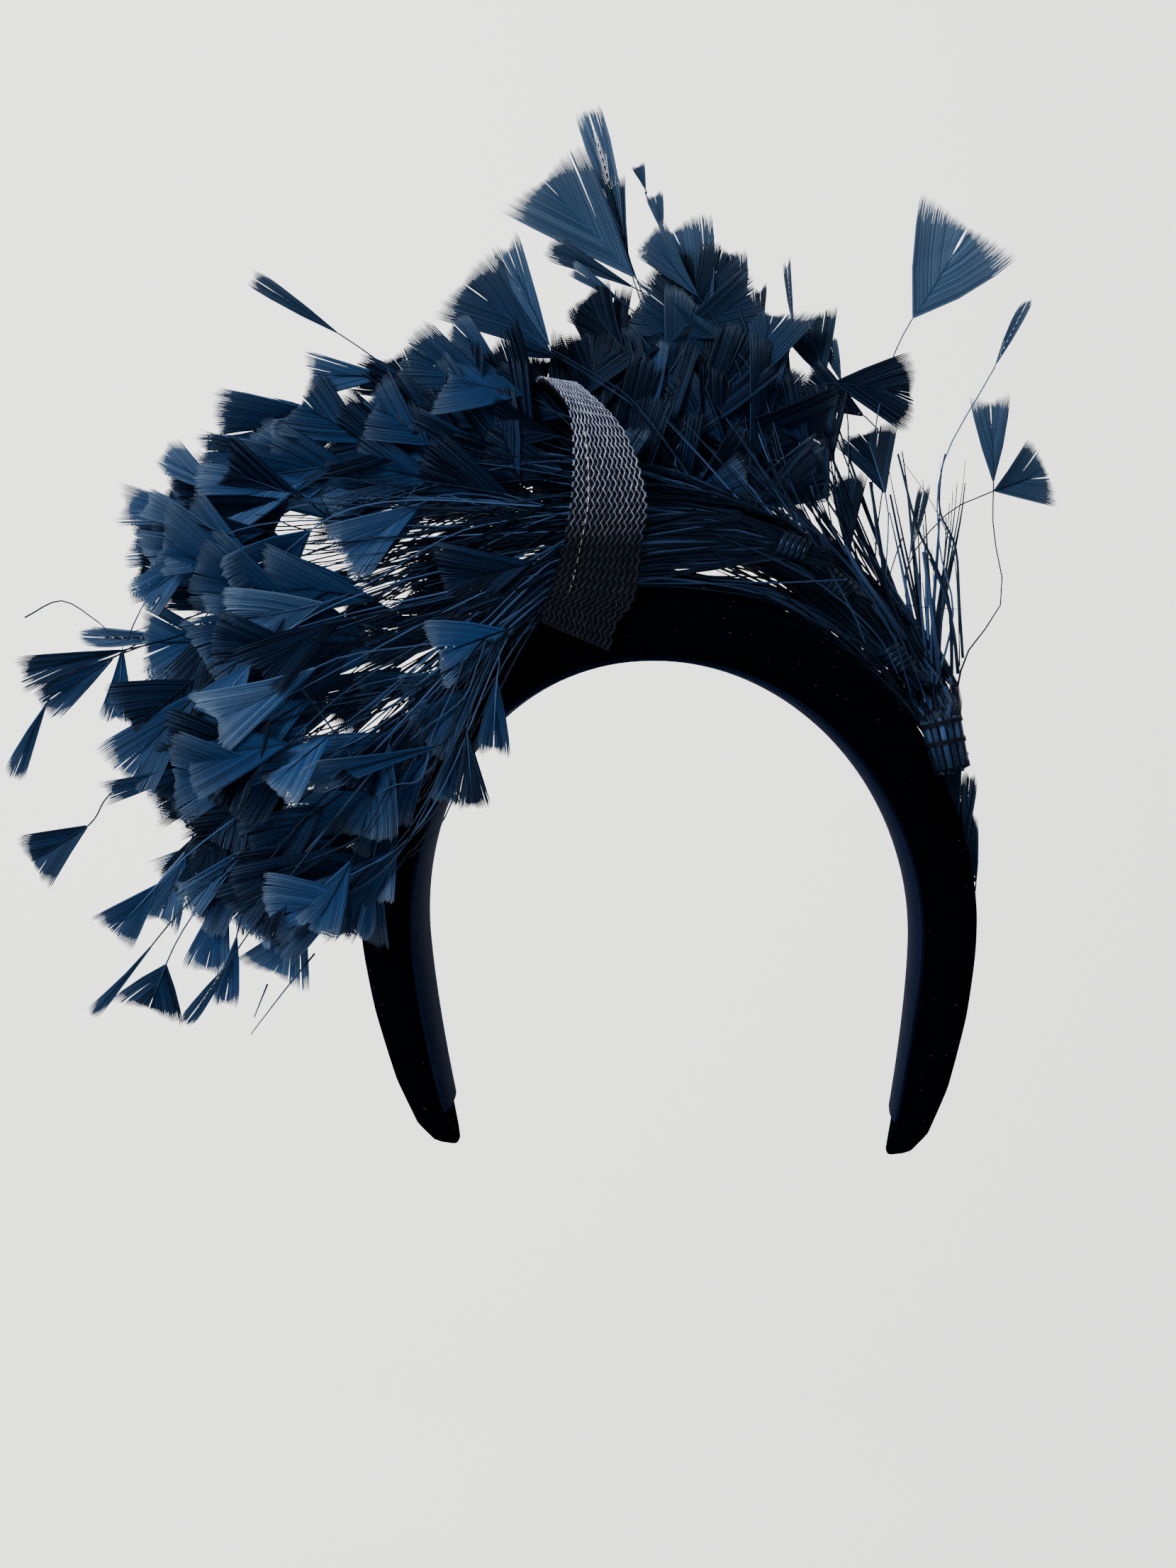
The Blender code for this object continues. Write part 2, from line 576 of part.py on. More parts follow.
def build_feather(feather):
    """One quill and its fan-shaped vane as a closed solid."""
    bunch = BUNCHES[feather.bunch - 1]
    tip = Vector((feather.tip_u, feather.tip_v))
    base = Vector((feather.base_u, feather.base_v))
    # A small change of layer of its own keeps a quill out of its neighbour's plane.
    own = 0.5 + (feather.layer - 0.5) * (1 - 2 * LAYER_CHANGE) + LAYER_CHANGE * math.sin(tip.x * 3.1 + tip.y * 1.7)
    layer = between(bunch.back, bunch.front, own)
    line = []
    for point in quill_points(feather, bunch):
        line.append((place(point.x, point.y, spine_depth(bunch, point.x, point.y, own)), 0.0))
    tip_depth = depth_at(tip.x, tip.y, layer)
    base_depth = depth_at(base.x, base.y, layer)
    for share in (0.5, 1.0):
        spot = base.lerp(tip, share)
        line.append((place(spot.x, spot.y, between(base_depth, tip_depth, share)), share))
    turn = math.radians(feather.turn)
    full_width = feather.width / math.cos(turn) * (1.0 - tip_depth / EYE_DISTANCE)
    rings = []
    flat = None
    for index, (point, opened) in enumerate(line):
        # The vane's three sections share one direction, which keeps the vane flat.
        before = line[max(0, min(index - 1, len(line) - 3))][0]
        after = line[-1][0] if index >= len(line) - 3 else line[index + 1][0]
        if index >= len(line) - 3:
            before = line[-3][0]
        run = (after - before).normalized()
        last_flat = flat
        flat = run.cross(TOWARDS_EYE).normalized()
        if last_flat and flat.dot(last_flat) < 0:
            flat = -flat
        facing = flat.cross(run)
        across = flat * math.cos(turn) + facing * math.sin(turn)
        through = across.cross(run)
        half_width = max(STEM / 2, full_width / 2 * opened)
        half_depth = between(STEM, VANE_THICKNESS, opened) / 2
        rings.append([
            point - across * half_width - through * half_depth,
            point + across * half_width - through * half_depth,
            point + across * half_width + through * half_depth,
            point - across * half_width + through * half_depth,
        ])
    return loft("feather", rings)


def keep_main_shell(mesh):
    """Keep only the largest shell of a fused mesh, which closes small pockets between crossing quills."""
    left = set(mesh.verts)
    shells = []
    while left:
        seed = left.pop()
        shell = {seed}
        edge_of = [seed]
        while edge_of:
            vertex = edge_of.pop()
            for edge in vertex.link_edges:
                other = edge.other_vert(vertex)
                if other in left:
                    left.remove(other)
                    shell.add(other)
                    edge_of.append(other)
        shells.append(shell)
    shells.sort(key=len)
    for shell in shells[:-1]:
        bmesh.ops.delete(mesh, geom=list(shell), context="VERTS")


def close_pinches(mesh):
    """Shrink each short edge that four faces share to a point, so that every edge has two faces."""
    for _ in range(4):
        pinched = [edge for edge in mesh.edges if len(edge.link_faces) > 2]
        if not pinched:
            return
        first, second = pinched[0].verts
        bmesh.ops.pointmerge(mesh, verts=[first, second], merge_co=(first.co + second.co) / 2)
        bare = [edge for edge in mesh.edges if not edge.link_faces]
        bmesh.ops.delete(mesh, geom=bare, context="EDGES")


def fuse(name, solids, scratch):
    """Join solids that run into each other into one closed body."""
    joined = bmesh.new()
    for data in solids[1:]:
        joined.from_mesh(data)
    rest = bpy.data.meshes.new(name + "_rest")
    joined.to_mesh(rest)
    joined.free()
    body = bpy.data.objects.new(name + "_body", solids[0])
    other = bpy.data.objects.new(name + "_other", rest)
    scratch.objects.link(body)
    scratch.objects.link(other)
    union = body.modifiers.new("fuse", "BOOLEAN")
    union.operation = "UNION"
    union.solver = "EXACT"
    union.use_self = True
    union.object = other
    evaluated = body.evaluated_get(bpy.context.evaluated_depsgraph_get())
    fused = bpy.data.meshes.new_from_object(evaluated)
    fused.name = name
    for item in (body, other):
        bpy.data.objects.remove(item)
    mesh = bmesh.new()
    mesh.from_mesh(fused)
    keep_main_shell(mesh)
    bmesh.ops.triangulate(mesh, faces=mesh.faces)
    close_pinches(mesh)
    mesh.to_mesh(fused)
    mesh.free()
    return fused


def build_bunches(collection, scratch):
    for bunch in BUNCHES:
        solids = [build_sheaf(bunch)]
        solids += [build_feather(feather) for feather in FEATHERS if feather.bunch == bunch.number]
        name = f"feather_bunch_{bunch.number}"
        material = finish_material(f"feather_navy_{bunch.number}", bunch.colour, 0.45)
        add_piece(collection, name, fuse(name, solids, scratch), material, smooth=False)


def root_frame(bunch, along):
    """Middle, run and two half sizes of a bunch's sheaf at a share of its middle line."""
    spine = [Vector(row) for row in bunch.spine]
    here = smooth_line(spine, along)
    ahead = smooth_line(spine, along + 0.01)
    depth = spine_depth(bunch, here.x, here.y, 0.5)
    middle = place(here.x, here.y, depth)
    run = place(ahead.x, ahead.y, spine_depth(bunch, ahead.x, ahead.y, 0.5)) - middle
    return middle, run.normalized(), here.z / 2


def turns_round(middle, run, reach, sides, turns, pitch):
    """Points of a coil round a root, which starts at middle and climbs along run."""
    flat = run.cross(TOWARDS_EYE).normalized()
    deep = flat.cross(run)
    points = []
    for step in range(turns * sides + 1):
        angle = 2 * math.pi * step / sides
        rise = run * pitch * step / sides
        points.append(middle + rise + flat * reach * math.cos(angle) + deep * reach * math.sin(angle))
    return points


def tube(collection, name, points, radius, cyclic, material):
    curve = bpy.data.curves.new(name, "CURVE")
    curve.dimensions = "3D"
    curve.bevel_depth = radius * MM
    curve.bevel_resolution = 0
    curve.use_fill_caps = not cyclic
    spline = curve.splines.new("POLY")
    spline.points.add(len(points) - 1)
    for target, point in zip(spline.points, points):
        target.co = (*(point * MM), 1.0)
    spline.use_cyclic_u = cyclic
    curve.materials.append(material)
    piece = bpy.data.objects.new(name, curve)
    collection.objects.link(piece)


def build_bindings(collection, thread, quill):
    """Two rows of thread round the first root and a wound quill round each of the others."""
    for number, along in enumerate(THREAD_PLACES, start=1):
        middle, run, half = root_frame(BUNCHES[0], along)
        reach = half + THREAD_RADIUS + THREAD_CLEARANCE
        points = turns_round(middle, run, reach, THREAD_SIDES, 1, 0.0)[:-1]
        tube(collection, f"thread_row_{number}", points, THREAD_RADIUS, True, thread)
    for bunch in BUNCHES[1:]:
        middle, run, half = root_frame(bunch, WINDING_PLACE)
        reach = half + WINDING_WIRE / 2 + WINDING_CLEARANCE
        points = turns_round(middle, run, reach, WINDING_SIDES, WINDING_TURNS, WINDING_PITCH)
        tube(collection, f"wound_quill_{bunch.number}", points, WINDING_WIRE / 2, False, quill)


def build_end_trim(collection, scratch, feather_navy):
    """Short vanes that stand out from the band's outer right side, with their points at the bottom."""
    solids = []
    for vane in TRIM_VANES:
        rings = []
        lean = math.radians(vane.lean)
        for share in (0.0, 0.5, 1.0):
            along = between(vane.foot, vane.end, share)
            inner_rise = BAND_SEAT + read_rows(BAND_STATIONS, 1, along) + vane.rise * between(0.4, 1.0, share)
            lengthwise = between(TRIM_FOOT_LENGTHWISE, vane.lengthwise, share)
            width = between(TRIM_FOOT_WIDTH, vane.width, share)
            ring = []
            for reach, lift in ((0.0, 0.0), (width, 0.0), (width, TRIM_THICKNESS), (0.0, TRIM_THICKNESS)):
                ring.append(band_point(along, lengthwise - reach * math.cos(lean) + lift * math.sin(lean),
                                       inner_rise + reach * math.sin(lean) + lift * math.cos(lean)))
            rings.append(ring)
        solids.append(loft("trim_vane", rings))
    add_piece(collection, "end_trim", fuse("end_trim", solids, scratch), feather_navy, smooth=False)


def build():
    clear_scene()
    collection = bpy.data.collections.new("fascinator")
    scratch = bpy.data.collections.new("fascinator_scratch")
    bpy.context.scene.collection.children.link(collection)
    bpy.context.scene.collection.children.link(scratch)
    velvet = finish_material("velvet_dark_navy", (0.004, 0.005, 0.012), 0.95)
    facing_velvet = finish_material("velvet_navy", (0.010, 0.022, 0.060), 0.9)
    braid = finish_material("braid_blue_grey", (0.05, 0.07, 0.14), 0.4, 0.3)
    thread = finish_material("thread_black", (0.006, 0.007, 0.012), 0.7)
    quill = finish_material("quill_navy", (0.012, 0.030, 0.085), 0.35)
    trim = finish_material("trim_navy", (0.014, 0.032, 0.085), 0.5)
    build_headband(collection, velvet)
    build_inner_facing(collection, facing_velvet)
    build_strap(collection, braid)
    build_bunches(collection, scratch)
    build_bindings(collection, thread, quill)
    build_end_trim(collection, scratch, trim)


build()
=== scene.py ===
"""Looks of the fascinator: a velvet headband and bunches of stripped, fan-tipped feathers under a strap.

Sizes are in millimetres and MM turns them into metres. The origin is the crown seat, the middle of the band's
underside. +X is the wearer's left, which is the right of the front view, the front faces -Y and +Z is up.
"""

import math
import random
from collections import namedtuple

import bmesh
import bpy
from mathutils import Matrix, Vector


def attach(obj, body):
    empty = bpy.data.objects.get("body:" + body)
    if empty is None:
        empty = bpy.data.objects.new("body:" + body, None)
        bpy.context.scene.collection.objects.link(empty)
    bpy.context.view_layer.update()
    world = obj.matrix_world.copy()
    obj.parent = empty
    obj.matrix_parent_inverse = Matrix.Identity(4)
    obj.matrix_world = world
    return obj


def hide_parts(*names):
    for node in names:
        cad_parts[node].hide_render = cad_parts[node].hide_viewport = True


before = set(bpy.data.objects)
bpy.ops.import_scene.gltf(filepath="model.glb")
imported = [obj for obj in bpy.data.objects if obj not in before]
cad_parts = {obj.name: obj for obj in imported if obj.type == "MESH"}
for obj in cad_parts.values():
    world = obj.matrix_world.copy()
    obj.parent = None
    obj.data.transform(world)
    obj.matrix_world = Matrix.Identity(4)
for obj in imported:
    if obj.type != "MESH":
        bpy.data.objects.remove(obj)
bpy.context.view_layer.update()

MM = 0.001
GAP = 0.3  # between neighbouring pieces

# The front view that the feathers and the strap are charted in: u to the right and v up, in the plane
# through the origin, seen from EYE_DISTANCE and turned a little to +X. Depth is measured from that plane
# to the eye.
EYE_DISTANCE = 520.0
EYE_TURN = math.radians(7.0)
EYE_U = -20.1
EYE_V = -32.8
SEAT_RISE = 6.0
RIGHT = Vector((math.cos(EYE_TURN), math.sin(EYE_TURN), 0.0))
TOWARDS_EYE = Vector((math.sin(EYE_TURN), -math.cos(EYE_TURN), 0.0))
UP = Vector((0.0, 0.0, 1.0))
EYE = RIGHT * EYE_U + UP * (EYE_V - SEAT_RISE) + TOWARDS_EYE * EYE_DISTANCE

# Band
BAND_LEAN = math.radians(19.0)
ARCH_HALF_WIDTH = 75.0
ARCH_RISE = 93.0
LEG_LENGTH = 72.0
LEG_TURN_IN = 7.0
LEG_CURVE = 1.6
FACING_THICKNESS = 1.2
FACING_GAP = 0.5
BAND_SEAT = FACING_THICKNESS + FACING_GAP
SECTION_POWER = 2.5
DOME_SHARE = 0.62
TIP_CROWDING = 1.25
VELVET_SECTIONS = 150
VELVET_POINTS = 48

# Padding and width at places along the arch, from its top (0) to a tip (1)
BAND_PADDING = [(0.0, 17.0), (0.25, 19.0), (0.45, 20.0), (0.6, 19.5), (0.75, 18.0), (0.87, 15.5),
                (0.95, 12.0), (0.985, 8.0), (1.0, 3.0)]
BAND_WIDTH = [(0.0, 42.0), (0.25, 40.0), (0.45, 35.0), (0.6, 30.0), (0.75, 26.0), (0.87, 22.0),
              (0.95, 18.0), (0.985, 13.0), (1.0, 6.0)]

# Inner facing: angles in degrees round the band's section, and where its front edge turns up on the right
FACING_REACH = 0.93
FACING_LIFT = 0.2
FACING_STEPS = 12
FACING_BACK_ANGLE = 300.0
FACING_FRONT_ANGLE = 222.0
TURN_UP = 20.0
TURN_UP_START = -0.05
TURN_UP_RISE = 0.35
TURN_UP_END = 0.85
TURN_UP_FALL = 0.4

# Lint
LINT_PER_SQUARE_METRE = 9000.0
LINT_SEED = 5
LINT_RADIUS = 0.04
LINT_LENGTH = 0.9
LINT_SIDES = 4
LINT_TURNS = ((1.2, 0.0, 0.0), (1.9, 0.0, 6.28))  # least and greatest turn about X, Y and Z in radians
LINT_SIZES = (0.4, 1.3)

# Depth of the plume: half of it and its middle at places along u, the chart's line that it spreads from,
# and how the front bunch hangs before the band.
STEM = 1.3
LAYER_CHANGE = 0.03
LAYER_WAVES = (3.1, 1.7)
FIRST_ROOT_DEPTH = 7.0
ROOT_LENGTH = 10.0
ROOT_FADE = 12.0
ROOT_LOOK = 0.01
SHEAF_MIDDLE = [(87.0, -12.0), (70.0, 6.0), (50.0, 30.0), (20.0, 44.0), (-15.0, 50.0), (-45.0, 44.0)]
SHEAF_HALF_DEPTH = [(-15.0, 14.0), (50.0, 11.5), (87.0, 8.0)]
PLUME_CENTRE = [(-190.0, 38.0), (-60.0, 9.0), (-15.0, 3.0), (50.0, 1.0), (87.0, -2.0)]
SHEAF_CORE = 22.0
SHEAF_SPREAD = 0.38
PLUME_HALF_DEPTH = 40.0
FRONT_OF_BAND = 27.0
FRONT_BUNCH_LAYER = 0.8
HANG_TOP = 30.0
HANG_FADE_DOWN = 24.0
HANG_RIGHT = -22.0
HANG_FADE_LEFT = 16.0

# Bindings: their places on the bunch's middle line, their middle's height over the root, and the length
# that they climb in each turn.
THREAD_PLACES = [0.07, 0.18]
THREAD_HALF_WIDTH = 0.24
THREAD_LIFT = 1.3
THREAD_TURNS = 3
THREAD_PITCH = 0.45
THREAD_DROP = 0.6
THREAD_TONE = 0.1
THREAD_SIDES = 6
THREAD_FLATNESS = 1.0
WINDING_PLACE = 0.03
WINDING_WIRE = 1.5
WINDING_HALF_WIDTH = 0.85
WINDING_FLATNESS = 0.5
WINDING_LIFT = 0.6
WINDING_TURNS = 5
WINDING_PITCH = 1.75
WINDING_TONE = 0.08
WINDING_SIDES = 8
STEPS_ROUND = 20

# Bunches: their back and front layer in the plume, and points on their middle line in the chart, each
# with the sheaf's width there.
Bunch = namedtuple("Bunch", "number back front spine")
Feather = namedtuple("Feather", "bunch base_u base_v tip_u tip_v width layer turn via", defaults=((),))

BUNCHES = [
    Bunch(1, 0.00, 0.17, [(86.5, -24, 9), (83.5, -11, 10), (78, 3, 10), (63, 24, 12), (45, 42, 11)]),
    Bunch(2, 0.26, 0.44, [(75, 0, 6), (67, 9, 6), (52, 25, 8), (25, 44, 13), (-5, 58, 16), (-32, 62, 15)]),
    Bunch(3, 0.53, 0.72, [(58, 22, 6), (49, 29, 6), (32, 39, 8), (0, 46, 12), (-30, 46, 15), (-58, 42, 13)]),
    Bunch(4, 0.81, 1.00, [(46, 35, 6), (36, 38, 6), (18, 39, 8), (-5, 37, 10), (-28, 31, 12), (-46, 16, 12),
                          (-62, -2, 10)]),
]

# One row for each feather: its bunch, where its vane starts and ends in the chart, the width of its end,
# its place between the back (0) and the front (1) of its bunch, its turn about its own quill in degrees,
# and any points on its quill.
FEATHERS = [
    Feather(1, 76, 105, 94, 132, 34, 0.6, 0),
    Feather(1, 100, 90, 110, 111, 3, 0.9, 50, ((88, 18), (84, 38), (85, 62))),
    Feather(1, 100, 56, 99.5, 82, 11, 0.7, 20, ((88.6, -8), (92, 5.6), (102.5, 21.7), (100, 42))),
    Feather(1, 100, 54, 116, 59, 22, 0.3, 5, ((74, 30), (86, 47))),
    Feather(1, 52, 86, 78, 84, 24, 0.8, 0),
    Feather(1, 68, 53, 62, 73, 20, 0.9, 10),
    Feather(1, 57, 34, 56, 59, 11, 1.0, 20),
    Feather(1, 51, 50, 48, 70, 7, 0.5, 30),
    Feather(1, 50, 87, 44, 106, 18, 0.4, 10),
    Feather(1, 55, 86, 51, 99, 4, 0.6, 45),
    Feather(1, 62, 76, 43, 87, 12, 0.2, 20),
    Feather(1, 41, 101, 38, 122, 2, 0.5, 55, ((38, 88),)),
    Feather(1, 31, 98, 31, 115, 4, 0.3, 45),
    Feather(1, 25, 99, 23, 125, 10, 0.2, 10),
    Feather(1, 17, 107, 4, 133, 24, 0.6, 5),
    Feather(1, 13, 111, -3, 129, 12, 0.9, 30),
    Feather(1, 2, 130, 0, 143, 5, 0.1, 30),
    Feather(1, -3, 143, -5, 151, 4, 0.0, 30, ((2, 132),)),
    Feather(1, -6, 117, -34, 148, 31, 0.5, 0),
    Feather(1, -8, 122, -13, 147, 8, 0.2, 20),
    Feather(1, -9, 127, -19, 167, 8, 0.3, 10),
    Feather(1, -6, 114, -32, 127, 8, 0.8, 15),
    Feather(1, -10, 110, -25, 121, 4, 1.0, 45),
    Feather(1, -9, 95, -23, 112, 17, 0.7, 10),
    Feather(1, 18, 99, -8, 108, 16, 0.9, 10),
    Feather(1, 0, 77, -1, 98, 9, 0.8, 35),
    Feather(1, 0, 74, -14, 95, 21, 0.6, 5),
    Feather(1, 14, 79, 10, 98, 16, 0.5, 20),
    Feather(1, 41, 78, 33, 101, 12, 0.4, 15),
    Feather(1, 34, 76, 30, 99, 21, 0.7, 5),
    Feather(1, 75, 34, 80, 56, 3, 0.9, 50),
    Feather(2, -93, 100, -121, 118, 5, 0.5, 40),
    Feather(2, -45, 84, -75, 94, 23, 0.7, 5),
    Feather(2, -45, 88, -60, 104, 9, 0.5, 30),
    Feather(2, -66, 82, -89, 90, 12, 0.4, 10),
    Feather(2, -62, 57, -86, 82, 19, 0.8, 15),
    Feather(2, -88, 73, -117, 76, 13, 0.3, 5),
    Feather(2, -90, 77, -112, 65, 16, 0.6, 10),
    Feather(2, -31, 96, -46, 128, 9, 0.6, 25, ((-6, 80), (-19, 89))),
    Feather(2, -31, 95, -57, 118, 26, 0.3, 5, ((-3, 76), (-18, 87))),
    Feather(2, -27, 93, -45, 98, 5, 0.5, 25, ((-8, 81),)),
    Feather(2, -114, 41, -140, 46, 14, 0.4, 10),
    Feather(2, -127, 52, -147, 66, 11, 0.9, 25),
    Feather(2, -105, 66, -137, 66, 10, 0.5, 10),
    Feather(2, -119, 44, -159, 50, 13, 0.6, 5),
    Feather(2, -48, 62, -76, 72, 17, 0.7, 15),
    Feather(2, -90, 55, -119, 58, 18, 0.3, 10),
    Feather(3, -130, 42, -152, 50, 9, 0.9, 25),
    Feather(3, -119, 37, -153, 32, 20, 0.6, 5),
    Feather(3, -134, 37, -155, 20, 13, 0.8, 10),
    Feather(3, -140, 11, -171, 9, 6, 0.4, 10),
    Feather(3, -157, 7, -189, 1, 11, 0.6, 15),
    Feather(3, -160, 5, -183, -9, 12, 0.3, 15),
    Feather(3, -180, -8, -192, -31, 5, 0.5, 45, ((-168, 2),)),
    Feather(3, -158, 8, -159, -16, 10, 0.2, 5, ((-146, 14),)),
    Feather(3, -138, 8, -145, -18, 12, 0.6, 10),
    Feather(3, -127, 19, -142, -6, 16, 0.8, 10),
    Feather(3, -98, 21, -127, 14, 20, 0.9, 10),
    Feather(3, -90, 28, -118, 30, 15, 0.5, 15),
    Feather(3, -104, 9, -135, 1, 15, 0.3, 15),
    Feather(4, -100, 2, -132, -17, 21, 0.9, 10),
    Feather(4, -130, -17, -154, -27, 8, 0.5, 15),
    Feather(4, -128, -25, -163, -37, 7, 0.7, 25),
    Feather(4, -133, -22, -146, -39, 12, 0.4, 15),
    Feather(4, -126, -26, -140, -44, 13, 0.2, 10),
    Feather(4, -168, -45, -186, -56, 18, 0.6, 5, ((-150, -29),)),
    Feather(4, -147, -62, -161, -78, 15, 0.6, 10),
    Feather(4, -139, -52, -148, -75, 13, 0.3, 15),
    Feather(4, -148, -79, -166, -102, 4, 0.8, 45),
    Feather(4, -145, -86, -151, -101, 22, 0.5, 10),
    Feather(4, -127, -62, -134, -89, 14, 0.4, 10),
    Feather(4, -124, -77, -128, -99, 7, 0.7, 30),
    Feather(4, -126, -85, -139, -105, 4, 0.9, 45),
    Feather(4, -117, -55, -122, -78, 8, 0.2, 15),
    Feather(4, -104, -52, -113, -74, 14, 0.4, 10),
    Feather(4, -104, -71, -113, -91, 24, 0.3, 5),
    Feather(4, -90, -55, -101, -77, 15, 0.9, 5),
    Feather(4, -89, -56, -92, -79, 4, 0.6, 45),
    Feather(4, -84, -58, -86, -79, 5, 0.5, 35),
    Feather(4, -56, -16, -54, -41, 11, 0.7, 15, ((-48, 6), (-53, -5))),
    Feather(4, -58, -16, -63, -40, 9, 0.5, 20, ((-50, 6), (-56, -6))),
    Feather(4, -63, -21, -105, -33, 10, 1.0, 15),
    Feather(4, -103, -26, -131, -33, 7, 0.8, 15),
    Feather(4, -75, -31, -92, -51, 18, 0.3, 15),
    Feather(4, -108, -25, -117, -47, 10, 0.2, 10),
    Feather(4, -92, -51, -125, -65, 12, 0.9, 15),
    Feather(4, -112, -46, -139, -72, 20, 0.5, 10),
]

# Vanes that overlap those above and fill the plume between them, with the same columns.
FILLERS = [
    Feather(2, -27, 60, -52, 65, 21, 0.9, 0),
    Feather(2, -63, 57, -90, 62, 23, 0.9, 5),
    Feather(4, -36, 33, -63, 26, 26, 1.0, 0),
    Feather(3, -88, 27, -115, 23, 23, 0.9, 5),
    Feather(3, -70, 14, -93, 20, 15, 0.5, 10),
    Feather(2, -76, 54, -94, 41, 11, 0.3, 10),
    Feather(3, -48, 31, -75, 28, 13, 0.4, 10),
    Feather(2, -50, 54, -78, 52, 11, 0.2, 10),
    Feather(3, -62, 9, -88, 7, 15, 0.6, 10),
    Feather(4, -64, -1, -90, -6, 11, 0.3, 10),
    Feather(3, -84, 12, -112, 8, 13, 0.3, 10),
    Feather(4, -82, -24, -104, -32, 15, 0.1, 10),
    Feather(4, -44, 13, -67, 5, 22, 1.0, 0),
    Feather(2, -34, 52, -60, 53, 17, 0.2, 10),
    Feather(2, -28, 70, -50, 74, 17, 0.9, 5),
    Feather(2, -30, 62, -56, 68, 19, 0.3, 5),
    Feather(3, -45, 40, -65, 37, 13, 0.3, 10),
    Feather(3, -48, 24, -72, 17, 17, 0.2, 10),
    Feather(4, -54, -6, -72, -22, 15, 0.2, 10),
    Feather(4, -47, -1, -49, -25, 10, 0.6, 10, ((-41, 18),)),
    Feather(4, -56, 0, -74, -9, 15, 0.4, 10),
    Feather(3, -52, 22, -78, 12, 17, 0.3, 10),
    Feather(4, -62, -8, -80, -24, 15, 0.2, 10),
    Feather(2, -97, 62, -120, 62, 17, 0.9, 10),
    Feather(2, -78, 88, -104, 88, 14, 0.4, 10),
    Feather(4, -52, -3, -70, -20, 17, 0.6, 10),
    Feather(4, -66, -22, -80, -42, 16, 0.5, 10),
    Feather(1, 34, 72, 22, 96, 22, 0.7, 0),
    Feather(1, 22, 66, 3, 84, 20, 0.9, 10),
    Feather(1, 8, 84, -14, 98, 18, 0.6, 10),
    Feather(1, 46, 66, 34, 86, 16, 0.8, 15),
    Feather(1, 30, 92, 14, 110, 18, 0.5, 5),
    Feather(1, 52, 62, 50, 86, 16, 0.4, 10),
    Feather(1, 12, 100, 2, 122, 15, 0.4, 10),
    Feather(2, -26, 76, -50, 84, 20, 0.7, 5),
]

# Quills without a vane that fill the plume: the bunch, how many, and where they end in the chart.
QuillField = namedtuple("QuillField", "bunch count left right bottom top earliest latest")
QUILL_FIELDS = [
    QuillField(1, 34, 46, 93, 14, 66, 0.1, 0.5),
    QuillField(1, 44, -12, 52, 34, 92, 0.1, 0.6),
    QuillField(2, 24, -100, -40, 52, 84, 0.5, 1.0),
    QuillField(2, 20, -30, 40, 50, 82, 0.2, 0.6),
    QuillField(3, 84, -112, -46, 8, 50, 0.5, 1.0),
    QuillField(3, 34, -122, -86, 4, 56, 0.4, 1.0),
    QuillField(4, 34, -118, -82, -42, 8, 0.4, 1.0),
    QuillField(4, 44, -106, -64, -40, 16, 0.5, 1.0),
    QuillField(4, 40, -66, -44, 0, 28, 0.5, 1.0),
    QuillField(3, 20, -66, -44, 34, 56, 0.5, 1.0),
]

# Quills that run low along the band's top: points on their middle line, and how they spread from it. Each
# starts at one of the first points and ends at one of the last.
LOW_QUILLS = [(83, -24), (74, -12), (66, -0.5), (52, 11.5), (32, 22.5), (0, 26.8), (-22, 25.5), (-40, 15),
              (-62, -6)]
LOW_QUILL_COUNT = 50
LOW_QUILL_SPREAD = 4.0
LOW_QUILL_WANDER = 2.0
LOW_QUILL_HEIGHTS = (-0.4, 1.0)
LOW_QUILL_LAYERS = (0.2, 0.95)
LOW_QUILL_HALF_WIDTHS = (0.28, 0.5)
LAST_LOW_START = 3
FIRST_LOW_END = 6

